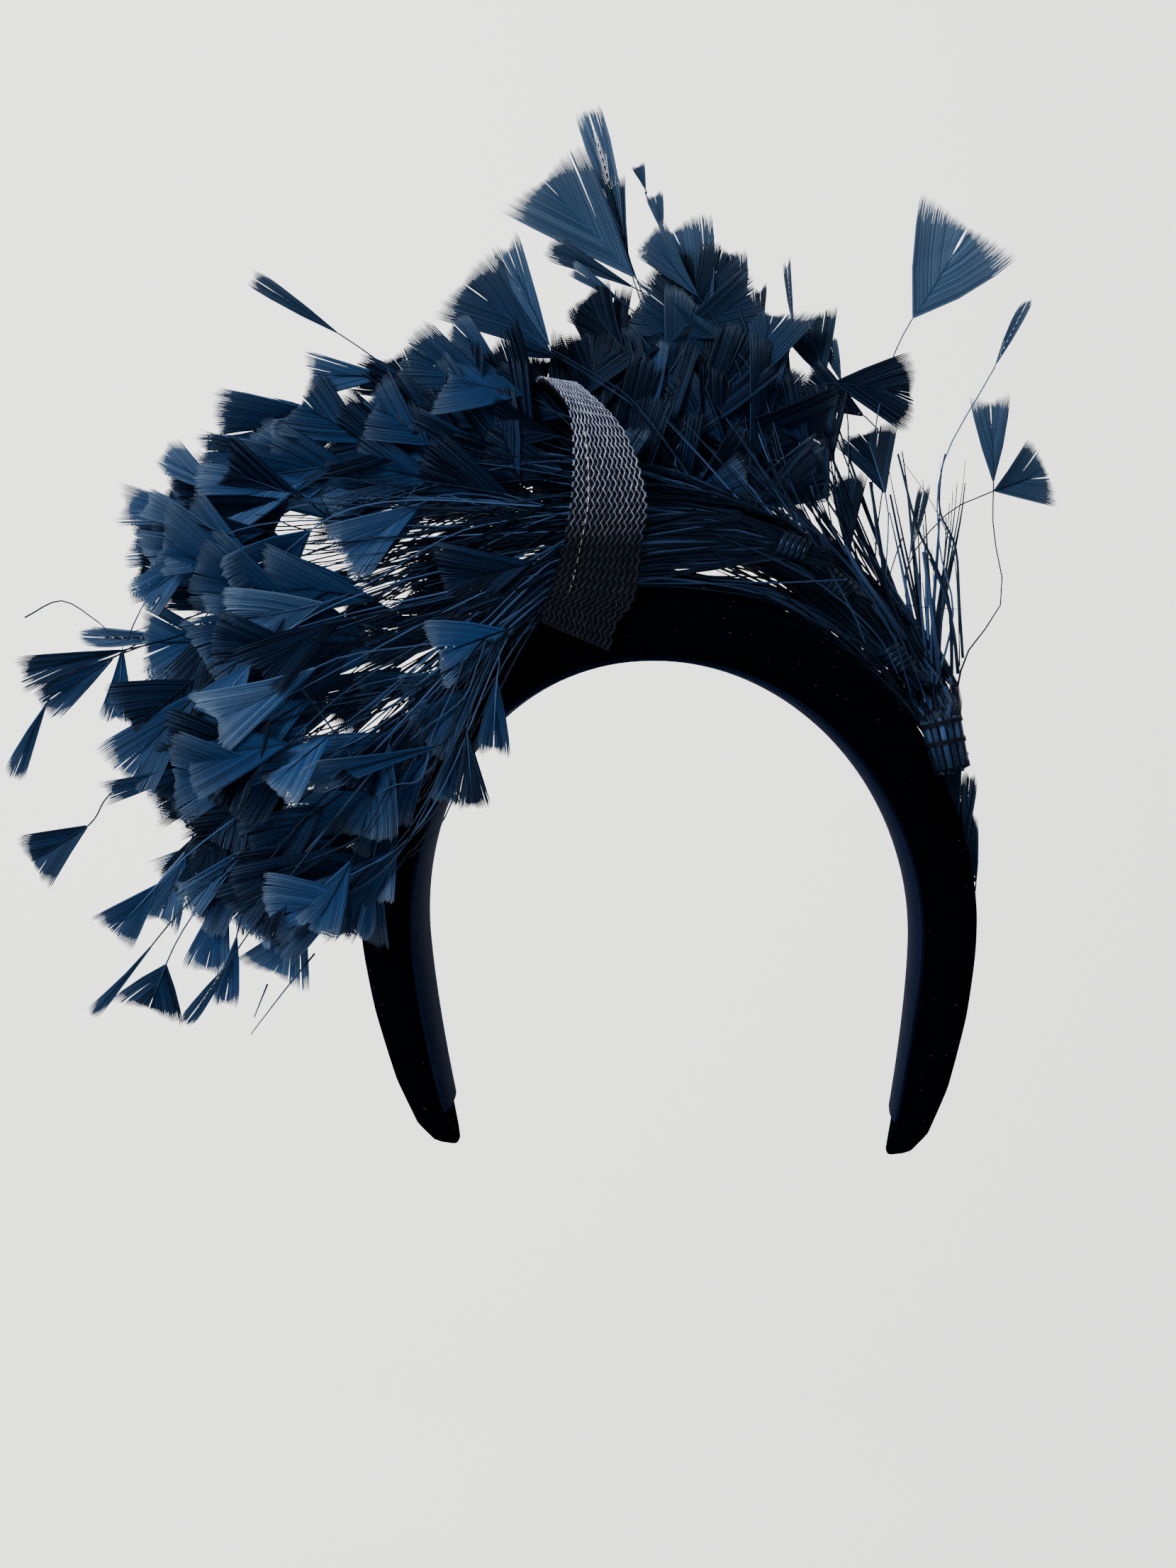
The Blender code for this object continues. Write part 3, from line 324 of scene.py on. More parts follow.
# Quills without a vane that show on their own: the bunch, the layer, half the width, the tone and the
# points.
BareQuill = namedtuple("BareQuill", "bunch layer half_width tone points")
BARE_QUILLS = [
    BareQuill(3, 0.6, 0.25, 0.3, [(-187, 16.5), (-176, 21.5), (-165, 15), (-160, 11), (-150, 14)]),
    BareQuill(3, 0.7, 0.25, 0.3, [(-156.5, 10), (-154, 16), (-150, 22), (-140, 25)]),
    BareQuill(4, 1.0, 0.34, 0.4, [(-50, 10), (-53, 2), (-57, -7.5), (-68, -16), (-73, -20)]),
    BareQuill(4, 0.95, 0.34, 0.45, [(-57, 4), (-60, -5), (-66, -18), (-69.5, -31), (-77, -33), (-83, -36)]),
    BareQuill(2, 0.9, 0.3, 0.4, [(-60, 60), (-71, 55), (-76, 46), (-83, 35.5)]),
    BareQuill(4, 0.6, 0.4, 0.4, [(-112, 4), (-100, -11), (-90, -25)]),
    BareQuill(1, 0.8, 0.22, 0.2, [(90, 2), (89.5, 20), (88, 36), (82, 50), (73, 63)]),
    BareQuill(1, 0.9, 0.65, 0.1, [(87.6, -10.5), (87.1, 18.4), (82.5, 32.4), (77.3, 43.6), (71.7, 65)]),
    BareQuill(1, 1.0, 0.95, 0.45, [(84.8, -10), (82.9, 9), (81.1, 23), (79.2, 36)]),
    BareQuill(1, 0.9, 0.5, 0.15, [(90.9, 4.5), (89.9, 20), (88.8, 37), (84.3, 47.4), (84.3, 57.6),
                                  (85.7, 65)]),
    BareQuill(1, 0.8, 0.65, 0.08, [(82.9, -8.6), (80.1, 4.5), (76.4, 21), (72.7, 37), (69.4, 53)]),
    BareQuill(1, 1.0, 0.95, 0.05, [(80.1, -6.7), (74.5, 9), (68.5, 25), (66.6, 37), (63.5, 56.7)]),
    BareQuill(1, 1.0, 0.65, 0.2, [(89.5, -0.2), (88.1, 12.9), (85.3, 24), (81.1, 34)]),
    BareQuill(1, 1.0, 0.9, 0.05, [(81, -16), (74.5, -6.5), (68, 0.5), (58, 9)]),
    BareQuill(1, 1.0, 0.9, 0.12, [(80, -18), (72.5, -4.5), (66, 2), (54, 13)]),
    BareQuill(1, 1.0, 0.8, 0.2, [(80, -15), (75, -4), (69, 3), (58, 12)]),
    BareQuill(1, 0.9, 0.6, 0.2, [(81.1, 3.5), (75.5, 16.6), (68, 28.7), (59.6, 40.8)]),
    BareQuill(1, 1.0, 0.65, 0.05, [(76.9, 5.4), (71.7, 14.7), (62.4, 27.8), (53.1, 48.3)]),
    BareQuill(2, 1.0, 1.0, 0.5, [(74, 10), (68, 18.5), (60.5, 29.6), (55.9, 38)]),
    BareQuill(4, 1.0, 0.4, 0.2, [(15.8, 56.7), (47.5, 41.8), (68, 15.6), (75.5, -5.8)]),
    BareQuill(4, 1.0, 0.35, 0.3, [(15.8, 41.8), (43.7, 29.6), (64.3, 12.8), (71.7, -0.2)]),
    BareQuill(4, 1.0, 0.4, 0.35, [(15.8, 27.8), (34.4, 26.8), (56.8, 27.8)]),
    BareQuill(4, 0.9, 0.4, 0.15, [(25, 65), (43.7, 46.4), (68, 18.4), (81, -9.5)]),
    BareQuill(4, 1.0, 0.4, 0.1, [(15.8, 38), (29.7, 25), (60.5, 9)]),
    BareQuill(4, 1.0, 0.45, 0.25, [(34.4, 60.4), (56.8, 21), (62, 9)]),
    BareQuill(1, 0.9, 0.25, 0.2, [(73, 40), (70.5, 33), (69, 26), (72, 20), (73, 17)]),
    BareQuill(1, 0.9, 0.2, 0.2, [(71.5, 20.5), (81, 19.5), (91, 19)]),
    BareQuill(4, 0.6, 0.3, 0.3, [(-101, -83), (-110, -94), (-120, -107)]),
    BareQuill(4, 0.7, 0.3, 0.3, [(-115, -92), (-119, -102)]),
]

# Cut quills round the front of the first bunch's root: how far they reach along it and round it, and their
# half width at each place.
ROOT_RIBS = 8
ROOT_RIB_ANGLE = 85.0
ROOT_RIB_LIFT = 0.6
ROOT_RIB_PLACES = (0.0, 0.04, 0.08, 0.12, 0.16, 0.19)
ROOT_RIB_HALF_WIDTHS = [1.1, 1.05, 1.0, 1.0, 0.95, 0.7]
ROOT_OVERHANG = 4.0
ROOT_RIB_TONES = (0.2, 0.5, 0.3, 0.7)

# The plume spreads from its heart, and it is open at these places, each with its radius.
PLUME_HEART = (-12.0, 40.0)
CLEAR_PLACES = [((-101, 43), 9), ((-80, 33), 6), ((-73, 43), 6), ((-79, 24), 5), ((-97, -20), 8),
                ((-84, -15), 8), ((-105, -2), 6), ((-106, -41), 5)]

# Strap: its left and right edge in the chart in rows from front to back, with its side of the plume
# there, and its feet's places along the arch with their angle round the band's section.
STRAP_THICKNESS = 1.5
STRAP_CLEARANCE = -0.2  # it presses into the feathers
STRAP_BACK_LAYER = 0.21
STRAP_CORNERS = [(-34.0, 15.5), (-33.0, 20.5)]
StrapFoot = namedtuple("StrapFoot", "left right angle")
STRAP_FRONT_FEET = [StrapFoot(None, -0.055, 184), StrapFoot(None, -0.040, 158)]
STRAP_BACK_FEET = [StrapFoot(-0.165, -0.045, 25), StrapFoot(-0.165, -0.045, 5)]
STRAP_SIDES = {"front": 1.0, "shoulder": 0.86, "top": 0.5, "far_shoulder": 0.12, "back": 0.0}
StrapRow = namedtuple("StrapRow", "left_u left_v right_u right_v side")
STRAP_ROWS = [
    StrapRow(-31, 26, -6, 22, "front"),
    StrapRow(-28, 37, -4, 38, "front"),
    StrapRow(-25.5, 50, -2.5, 50, "front"),
    StrapRow(-24.7, 61, -5, 62, "front"),
    StrapRow(-25, 72, -9, 71, "front"),
    StrapRow(-27, 80, -14, 77, "shoulder"),
    StrapRow(-34, 87, -23, 85, "top"),
    StrapRow(-36, 82, -22, 82, "far_shoulder"),
    StrapRow(-36, 68, -16, 68, "back"),
    StrapRow(-34, 50, -11, 50, "back"),
    StrapRow(-33, 34, -9, 34, "back"),
]
STRAP_ROW_STEPS = 12
STRAP_SECTIONS = 90
STRAP_LOOK = 0.01

# Core under the braid: share across the strap and height over its middle surface, once round
CORE_RING = [(0.02, -0.45), (0.35, -0.5), (0.65, -0.5), (0.98, -0.45), (0.98, 0.35), (0.65, 0.4), (0.35, 0.4),
             (0.02, 0.35)]

# Braid
STRAP_WIDTH = 24.0
BRAID_SEED = 11
BRAID_PITCH = 3.2  # along the strap from one strand to the next
BRAID_STEEPNESS = 1.8  # along the strap for each millimetre across it
BRAID_HALF_WIDTH = 0.17
BRAID_FLATNESS = 0.3
BRAID_SIDES = 4
BRAID_LIFT = 0.45
CROSSING_LIFT = 0.55
STRAND_TONES = (0.35, 1.0)
STRAND_CHANGES = (0.6, 1.2)
# Tone of a strand where it passes under another: painted shade
UNDER_STRAND_SHADE = 0.05

# Gold thread
GOLD_START = 13.0
GOLD_END = 62.0
GOLD_ACROSS = 0.23
GOLD_LIFT = 1.05
GOLD_HALF_WIDTH = 0.17
GOLD_FLATNESS = 0.8
GOLD_SIDES = 5
GOLD_POINTS = 4
GOLD_POINT_STEPS = (0.25, 0.6)
GOLD_DASH_STEPS = (2.2, 3.4)
GOLD_TONE = 0.8

# End trim: the places of a vane's foot and end along the arch, its rise over the band, its place from
# front (-) to back (+), its width and its lean in degrees
TrimVane = namedtuple("TrimVane", "foot end rise lengthwise width lean")
TRIM_VANES = [
    TrimVane(0.500, 0.350, 6.0, -7.0, 7.5, 62),
    TrimVane(0.500, 0.380, 8.0, -8.0, 6.5, 50),
    TrimVane(0.530, 0.420, 6.5, -9.0, 6.5, 45),
    TrimVane(0.580, 0.470, 3.0, -8.0, 5.5, 45),
    TrimVane(0.560, 0.450, 1.5, -3.0, 7.0, 40),
]
TRIM_SEED = 7
TRIM_FOOT_LENGTHWISE = -5.0
TRIM_FOOT_RISE = -0.4  # as a share of the rise at the end
TRIM_FOOT_WIDTH = 2.0
TRIM_TONE = 0.12

# How quills leave the middle line of their bunch: most of these are shares of that line or of the sheaf's
# width
SPINE_STEPS = 12
SPINE_LOOK = 0.05
LEAVING_STEPS = 20
LEAVING_LOOK = 0.04
LEAST_LEAVING = 0.12
LEAST_SHARE = 0.15
EASY_TURN = math.radians(38)
LEAN_TO_GOAL = 0.3
LEAN_TO_SIDE = 0.5
SETTLED_SHARE = 0.35
ROOT_SHARE = 0.25
WANDER = 0.16
WANDER_WAVES = 7.0
WANDER_PHASE = 20.0
WANDER_FADE = 0.2
HANDLE = 0.3
QUILL_STEP = 6
CHART_LINE_STEPS = 4

# Quills: their half width, its shares at the root and the end, and the places of their cut ends in the root
QUILL_SIDES = 5
QUILL_FLATNESS = 0.55
QUILL_HALF_WIDTH = 0.42
QUILL_END = 0.55
QUILL_NARROWING = 1.4
ROOT_WIDTHS = (1.0, 1.9)
FIRST_ROOT_WIDTHS = (1.5, 2.9)
ROOT_REACH = 0.42
FIRST_ROOT_REACH = 0.52
ROOT_ROUNDING = 0.8
ROOT_DEPTH = 0.4
CUT_END_REACHES = (1.0, 6.0)
BARE_WIDTH = 2
BARE_RUN = 5
BARE_END_SHARES = (0.1, 0.6)
FIELD_END = 0.3
FIELD_TAPER_START = 0.6
FIELD_SPREAD = 0.95
FIRST_FIELD_SPREAD = 0.45
HEART_MARGIN = 20

# Barbs: steps along a barb, and its half width there as a share of the space between barbs
BARB_SPACING = 0.40
BARB_STEPS = (0.0, 0.4, 0.75, 0.92, 1.0)
BARB_COVER = (1.5, 1.35, 1.15, 0.75, 0.15)
BARB_SHARE = 0.667
BARB_SIDES = 3
BARB_FLATNESS = 0.2
WIDEST_SPACING = 0.6
LEAST_BARB = 0.035
LEAST_BARB_COUNT = 4
BARB_TONE_CHANGE = 0.13
BARB_RISE = 0.03
SLIT_COUNTS = (0, 0, 1, 1, 2)
SLIT_PLACES = (0.15, 0.9)
SLIT_GAPS = (0.01, 0.035)
SLIT_FADE = 0.1
RAGGED_WAVE = 0.015
RAGGED_PITCH = 0.8
RAGGED_END = 0.04

# Vanes, as shares of their length or width. Barbs reach a little past the charted end.
FRINGE_REACH = 1.05
RACHIS_LENGTHS = (0.62, 0.76)
RACHIS_PLACES = (0.3, 0.6, 0.85, 1.0)
RACHIS_LIFT = 0.12
RACHIS_END = 0.2
RACHIS_CROWDING = 0.8
NOTCHES = (0.02, 0.16)
NOTCH_CURVE = 1.4
ROUNDINGS = (0.0, 0.16)
CUPS = (-0.04, 0.08)
BENDS = (-0.07, 0.07)
BOWS = (-0.015, 0.035)

# Feathers like a charted one that stand beside and behind it, and the dense part of the chart that they
# fill
MATES = 4
LEAST_MATED_WIDTH = 7
MATE_BACK = 26.0
MATE_SIDE = 13.0
MATE_SWING = 28
MATE_LENGTHS = (24.0, 36.0)
MATE_WIDTHS = (17.0, 30.0)
MATE_TURN = 32
MATE_SPREAD = 0.85
MATE_EARLIEST = 0.6
FIRST_MATE_EARLIEST = 0.3
CHARTED_SPREAD = 0.3
DENSE_LEFT = -150
DENSE_MIDDLE = -30
DENSE_RIGHT = 62
DENSE_LEFT_TOP = 100
DENSE_RIGHT_BOTTOM = 40
DENSE_RIGHT_TOP = 116
DENSE_LOW_RIGHT = -78
DENSE_LOW_BOTTOM = -78
DENSE_LOW_CORNER = -222

# Tones of the feathers, which paint light and shade: what each part of the plume adds, and where along u or
#  v the part begins and is full. The left, the right and the top are painted lit, the low left is painted in
#  shade, and the middle stays near black as painted shade.
BASE_TONE = 0.10
LEFT_PAINTED_LIGHT = 0.30
LEFT_U = (-50.0, -120.0)
LOW_PAINTED_SHADE = 0.06
LOW_U = (-60.0, -100.0)
LOW_V = (10.0, -50.0)
RIGHT_PAINTED_LIGHT = 0.24
RIGHT_U = (60.0, 90.0)
RIGHT_V = (85.0, 110.0)
RIGHT_LOW_SHARE = 0.3
TOP_PAINTED_LIGHT = 0.26
TOP_V = (100.0, 140.0)
TONE_CHANGES = (-0.3, 0.28)
MATE_PAINTED_SHADE = 0.22
LEAST_TONE = 0.03
QUILL_TONE = 0.9
QUILL_TONE_POWER = 4
FEATHER_SEED = 100

# Look
COOL = (0.35, 0.6, 1.0, 1.0)  # tint of the shine on feathers and braid
SHARP_ANGLE = math.radians(50)

# Stage, light and camera, in metres
BACKDROP_COLOUR = (0.96, 0.945, 0.92, 1.0)
BACKDROP_HALF_WIDTH = 3.0
BACKDROP_PROFILE = [(-3.0, -0.75), (0.6, -0.75), (0.8, -0.69), (0.9, -0.54), (0.92, 0.2), (0.92, 3.0)]
Lamp = namedtuple("Lamp", "name spot aim size power tint")
LAMPS = [
    Lamp("key", (-1.1, -1.2, 1.1), (-0.03, 0, 0), (0.7, 0.7), 118.0, (1.0, 0.98, 0.95)),
    Lamp("fill", (1.3, -1.0, 0.4), (0, 0, 0), (1.0, 1.2), 8.0, (0.92, 0.96, 1.0)),
]
SKY_COLOUR = (0.85, 0.9, 1.0, 1.0)
SKY_STRENGTH = 0.80
SENSOR_HEIGHT = 36.0
LENS = 40.3
CLIP_START = 0.01


def between(low, high, share):
    return low + (high - low) * share


def ease(value):
    value = min(1.0, max(0.0, value))
    return value * value * (3.0 - 2.0 * value)


def read_rows(rows, at):
    """Value at a place between rows of (place, value), in order of place."""
    places = [row[0] for row in rows]
    values = [row[1] for row in rows]
    if at <= places[0]:
        return values[0]
    for index in range(1, len(rows)):
        if at <= places[index]:
            share = (at - places[index - 1]) / (places[index] - places[index - 1])
            return between(values[index - 1], values[index], share)
    return values[-1]


def place(u, v, depth):
    """The point of the part that the front view shows at u, v, so far in front of the plane of the chart."""
    on_plane = RIGHT * u + UP * (v - SEAT_RISE)
    return EYE + (on_plane - EYE) * (1.0 - depth / EYE_DISTANCE)


def arch(along):
    """Inner line of the band in its own plane, from the top (0) to a tip (1), and the way out from it."""
    quarter = 0.5 * math.pi * (ARCH_HALF_WIDTH + ARCH_RISE) / 2
    total = quarter + LEG_LENGTH

    def spot(distance):
        if distance < quarter:
            angle = 0.5 * math.pi * distance / quarter
            return ARCH_HALF_WIDTH * math.sin(angle), ARCH_RISE * (1 - math.cos(angle))
        share = (distance - quarter) / LEG_LENGTH
        return ARCH_HALF_WIDTH - LEG_TURN_IN * share ** LEG_CURVE, ARCH_RISE + LEG_LENGTH * share

    distance = abs(along) * total
    across, down = spot(distance)
    before = spot(max(0.0, distance - 1.0))
    after = spot(distance + 1.0)
    run = Vector((after[0] - before[0], after[1] - before[1])).normalized()
    side = -1.0 if along < 0 else 1.0
    if abs(along) < 1e-6:
        run = Vector((1.0, 0.0))
    return side * across, down, side * run.y, -run.x


def band_point(along, lengthwise, outward):
    """A point of the part from its place on the arch, its place front (-) to back (+) and its rise above the
    underside."""
    across, down, turn_across, turn_down = arch(along)
    across += turn_across * outward
    down += turn_down * outward
    return Vector((
        across,
        down * math.sin(BAND_LEAN) + lengthwise * math.cos(BAND_LEAN),
        -down * math.cos(BAND_LEAN) + lengthwise * math.sin(BAND_LEAN),
    ))


def band_skin(along, angle, offset):
    """A point on the band's padded skin: angle 0 is the back edge, 90 degrees the dome and 180 the front."""
    padding = read_rows(BAND_PADDING, abs(along))
    width = read_rows(BAND_WIDTH, abs(along))
    rise = padding * (DOME_SHARE if math.sin(angle) >= 0 else 1 - DOME_SHARE)
    power = 2.0 / SECTION_POWER
    cosine, sine = math.cos(angle), math.sin(angle)
    reach = math.copysign(abs(cosine) ** power, cosine)
    lift = math.copysign(abs(sine) ** power, sine)
    normal = Vector((cosine / width, sine / (2 * rise))).normalized()
    lengthwise = reach * width / 2 + normal.x * offset
    outward = BAND_SEAT + padding * (1 - DOME_SHARE) + lift * rise + normal.y * offset
    return band_point(along, lengthwise, outward)


def distance_to_sheaf(u, v):
    """Distance in the chart from the middle line of the whole sheaf."""
    point = Vector((u, v))
    nearest = 1e9
    for start, end in zip(SHEAF_MIDDLE, SHEAF_MIDDLE[1:]):
        start, end = Vector(start), Vector(end)
        run = end - start
        share = max(0.0, min(1.0, (point - start).dot(run) / run.length_squared))
        nearest = min(nearest, (start + run * share - point).length)
    return nearest


def depth_at(u, v, layer):
    """Depth of a layer of the plume, from its back (0) to its front (1), at a place in the chart."""
    half = read_rows(SHEAF_HALF_DEPTH, u)
    half = min(PLUME_HALF_DEPTH, half + SHEAF_SPREAD * max(0.0, distance_to_sheaf(u, v) - SHEAF_CORE))
    centre = read_rows(PLUME_CENTRE, u)
    # The front bunch hangs before the band on the left, and the whole plume moves forward with it.
    hang = ease((HANG_TOP - v) / HANG_FADE_DOWN) * ease((HANG_RIGHT - u) / HANG_FADE_LEFT)
    behind_front_bunch = centre + half * (2 * FRONT_BUNCH_LAYER - 1)
    forward = max(0.0, FRONT_OF_BAND - behind_front_bunch) * hang
    return centre + forward + half * (2 * layer - 1)


def smooth_line(points, share):
    """A point on a smooth curve through points of equal size, at a share of the way along it."""
    position = share * (len(points) - 1)
    index = min(len(points) - 2, int(position))
    rest = position - index
    p1, p2 = points[index], points[index + 1]
    p0 = points[index - 1] if index > 0 else p1 * 2 - p2
    p3 = points[index + 2] if index + 2 < len(points) else p2 * 2 - p1
    return 0.5 * ((2 * p1) + (p2 - p0) * rest + (2 * p0 - 5 * p1 + 4 * p2 - p3) * rest ** 2
                  + (3 * p1 - p0 - 3 * p2 + p3) * rest ** 3)


def root_depth(bunch):
    """Depth of a bunch's root: on the band for the first, in front of the bunch behind it for the others."""
    u, v = bunch.spine[0][:2]
    if bunch.number == 1:
        return FIRST_ROOT_DEPTH
    behind = BUNCHES[bunch.number - 2]
    radius = bunch.spine[0][2] / 2 + WINDING_WIRE + GAP
    return depth_at(u, v, behind.front) + STEM / 2 + GAP + radius


def spine_depth(bunch, u, v, layer):
    """Depth of a quill near its bunch's middle line: it comes from the root's depth to its layer's."""
    start = Vector(bunch.spine[0][:2])
    away = (Vector((u, v)) - start).length
    share = ease((away - ROOT_LENGTH) / ROOT_FADE)
    settled = depth_at(u, v, between(bunch.back, bunch.front, layer))
    return between(root_depth(bunch), settled, share)


def leaving_share(bunch, base):
    """How far along its bunch's middle line a quill leaves: as far as it can without a sharp turn."""
    spine = [Vector(row) for row in bunch.spine]
    for step in range(LEAVING_STEPS - 1, 2, -1):
        share = step / LEAVING_STEPS
        here = smooth_line(spine, share)
        ahead = smooth_line(spine, min(1.0, share + LEAVING_LOOK))
        run = Vector((ahead.x - here.x, ahead.y - here.y))
        way = base - Vector((here.x, here.y))
        if way.length > ROOT_FADE and run.angle(way) < EASY_TURN:
            return share
    return LEAST_LEAVING


def root_frame(bunch, along):
    """Middle, run and half width of a bunch's sheaf at a share of its middle line."""
    spine = [Vector(row) for row in bunch.spine]
    here = smooth_line(spine, along)
    ahead = smooth_line(spine, along + ROOT_LOOK)
    depth = spine_depth(bunch, here.x, here.y, 0.5)
    middle = place(here.x, here.y, depth)
    run = place(ahead.x, ahead.y, spine_depth(bunch, ahead.x, ahead.y, 0.5)) - middle
    return middle, run.normalized(), here.z / 2


def ways_round(run):
    """The way across a run in the front view, and the way square to both, towards the eye."""
    flat = run.cross(TOWARDS_EYE).normalized()
    return flat, flat.cross(run)


def ways_across(points):
    """The way across a line in the front view, at each of its points."""
    last = len(points) - 1
    runs = [points[min(last, index + 1)] - points[max(0, index - 1)] for index in range(len(points))]
    return [run.cross(TOWARDS_EYE).normalized() for run in runs]


def turns_round(middle, run, reach, turns, pitch):
    """Points of a coil round a root, which starts at middle and climbs along run."""
    flat, deep = ways_round(run)
    points = []
    for step in range(turns * STEPS_ROUND + 1):
        angle = 2 * math.pi * step / STEPS_ROUND
        rise = run * pitch * step / STEPS_ROUND
        points.append(middle + rise + flat * reach * math.cos(angle) + deep * reach * math.sin(angle))
    return points


def strap_edges():
    """Left and right edge of the strap, in pairs, from the band's front over the quills to its back."""
    lift = 2 * GAP + STRAP_THICKNESS / 2
    clear = STRAP_THICKNESS / 2 + STRAP_CLEARANCE

    def over_quills(u, v, side):
        back = depth_at(u, v, STRAP_BACK_LAYER) - clear
        front = depth_at(u, v, 1.0) + clear
        return place(u, v, between(back, front, STRAP_SIDES[side]))

    pairs = []
    for (u, v), foot in zip(STRAP_CORNERS, STRAP_FRONT_FEET):
        pairs.append((over_quills(u, v, "front"), band_skin(foot.right, math.radians(foot.angle), lift)))
    for row in STRAP_ROWS:
        left = over_quills(row.left_u, row.left_v, row.side)
        pairs.append((left, over_quills(row.right_u, row.right_v, row.side)))
    for foot in STRAP_BACK_FEET:
        angle = math.radians(foot.angle)
        pairs.append((band_skin(foot.left, angle, lift), band_skin(foot.right, angle, lift)))
    return pairs


class Lines:
    """Thin lines for one sweep: points in millimetres, with the half width and the look at each."""

    def __init__(self):
        self.points = []
        self.edges = []
        self.half_widths = []
        self.wide_ways = []
        self.alongs = []
        self.tones = []

    def add(self, points, half_widths, wide_ways, tones):
        """Add one line. A half width, way or tone is one value, or a list with one for each point."""
        first = len(self.points)
        last = len(points) - 1
        self.points += points
        stores = (self.half_widths, self.wide_ways, self.tones)
        for store, value in zip(stores, (half_widths, wide_ways, tones)):
            store += value if isinstance(value, list) else [value] * len(points)
        self.alongs += [index / last for index in range(len(points))]
        self.edges += [(first + index, first + index + 1) for index in range(last)]


class Amount:
    """A node's socket that sums, multiplies and is raised to a power as a number is."""

    def __init__(self, nodes, socket):
        self.nodes = nodes
        self.socket = socket

    def __add__(self, other):
        return self.nodes.math("ADD", self, other)

    def __radd__(self, other):
        return self.nodes.math("ADD", other, self)

    def __sub__(self, other):
        return self.nodes.math("SUBTRACT", self, other)

    def __rsub__(self, other):
        return self.nodes.math("SUBTRACT", other, self)

    def __mul__(self, other):
        return self.nodes.math("MULTIPLY", self, other)

    def __rmul__(self, other):
        return self.nodes.math("MULTIPLY", other, self)

    def __pow__(self, other):
        return self.nodes.math("POWER", self, other)

    def clamp(self):
        return self.nodes.node("ShaderNodeClamp", {}, {"Value": self})["Result"]


class Nodes:
    """One node tree and short ways to add nodes to it."""

    def __init__(self, tree):
        self.tree = tree

    def put(self, socket, value):
        if isinstance(value, Amount):
            self.tree.links.new(value.socket, socket)
        else:
            socket.default_value = value

    def node(self, kind, settings, inputs):
        """Add a node, with its settings first, and return its outputs by name."""
        item = self.tree.nodes.new(kind)
        for key, value in settings.items():
            setattr(item, key, value)
        for key, value in inputs.items():
            self.put(item.inputs[key], value)
        return {socket.name: Amount(self, socket) for socket in item.outputs if socket.enabled}

    def math(self, operation, first, second):
        return self.node("ShaderNodeMath", {"operation": operation}, {0: first, 1: second})["Value"]


class Group(Nodes):
    """A Geometry Nodes tree with named inputs, which ends in plain geometry of one material."""

    def __init__(self, name, **kinds):
        super().__init__(bpy.data.node_groups.new(name, "GeometryNodeTree"))
        for key, kind in kinds.items():
            self.tree.interface.new_socket(key, in_out="INPUT", socket_type="NodeSocket" + kind)
        self.tree.interface.new_socket("Solids", in_out="OUTPUT", socket_type="NodeSocketGeometry")
        self.given = self.node("NodeGroupInput", {}, {})

    def read(self, name, kind):
        settings = {"data_type": kind}
        return self.node("GeometryNodeInputNamedAttribute", settings, {"Name": name})["Attribute"]

    def finish(self, geometry):
        """End the tree in Realize Instances and Set Material, and return it."""
        solids = self.node("GeometryNodeRealizeInstances", {}, {"Geometry": geometry})["Geometry"]
        inputs = {"Geometry": solids, "Material": self.given["Material"]}
        finished = self.node("GeometryNodeSetMaterial", {}, inputs)["Geometry"]
        self.node("NodeGroupOutput", {}, {"Solids": finished})
        return self.tree


class Shade(Nodes):
    """One material and short ways to build its look."""

    def __init__(self, name):
        self.material = bpy.data.materials.new(name)
        self.material.use_nodes = True
        super().__init__(self.material.node_tree)
        self.principled = self.tree.nodes["Principled BSDF"]

    def mix(self, factor, first, second):
        """Mix two colours, each of them a socket or three numbers."""
        ends = [value if isinstance(value, Amount) else (*value, 1.0) for value in (first, second)]
        inputs = {"Factor": factor, 6: ends[0], 7: ends[1]}
        return self.node("ShaderNodeMix", {"data_type": "RGBA"}, inputs)["Result"]

    def attribute(self, name):
        return self.node("ShaderNodeAttribute", {"attribute_name": name}, {})["Fac"]

    def object_place(self):
        return self.node("ShaderNodeTexCoord", {}, {})["Object"]

    def ramp(self, axis, start, end):
        """0 up to one place on an axis of the part, and 1 past another, both in millimetres."""
        place_on = self.node("ShaderNodeSeparateXYZ", {}, {"Vector": self.object_place()})[axis]
        scale = 1.0 / ((end - start) * MM)
        return (place_on * scale - start * MM * scale).clamp()

    def noise(self, scale, detail):
        inputs = {"Vector": self.object_place(), "Scale": scale, "Detail": detail}
        return self.node("ShaderNodeTexNoise", {}, inputs)["Fac"]

    def bump(self, height, distance):
        inputs = {"Height": height, "Distance": distance, "Strength": 0.5}
        self.put(self.principled.inputs["Normal"], self.node("ShaderNodeBump", {}, inputs)["Normal"])

    def set(self, **values):
        for key, value in values.items():
            self.put(self.principled.inputs[key.replace("_", " ")], value)


def sweep_tree():
    """The tree that lays a flattened profile along every line of a mesh of edges."""
    group = Group("sweep_lines", Lines="Geometry", Sides="Int", Flatness="Float", Material="Material")
    curve = group.node("GeometryNodeMeshToCurve", {}, {"Mesh": group.given["Lines"]})["Curve"]
    inputs = {"Curve": curve, "Normal": group.read("wide_way", "FLOAT_VECTOR")}
    turned = group.node("GeometryNodeSetCurveNormal", {"mode": "FREE"}, inputs)["Curve"]
    inputs = {"Resolution": group.given["Sides"], "Radius": 1.0}
    circle = group.node("GeometryNodeCurvePrimitiveCircle", {}, inputs)["Curve"]
    inputs = {"X": 1.0, "Y": group.given["Flatness"], "Z": 1.0}
    shape = group.node("ShaderNodeCombineXYZ", {}, inputs)["Vector"]
    profile = group.node("GeometryNodeTransform", {}, {"Geometry": circle, "Scale": shape})["Geometry"]
    inputs = {"Curve": turned, "Profile Curve": profile, "Scale": group.read("half_width", "FLOAT"),
              "Fill Caps": True}
    return group.finish(group.node("GeometryNodeCurveToMesh", {}, inputs)["Mesh"])


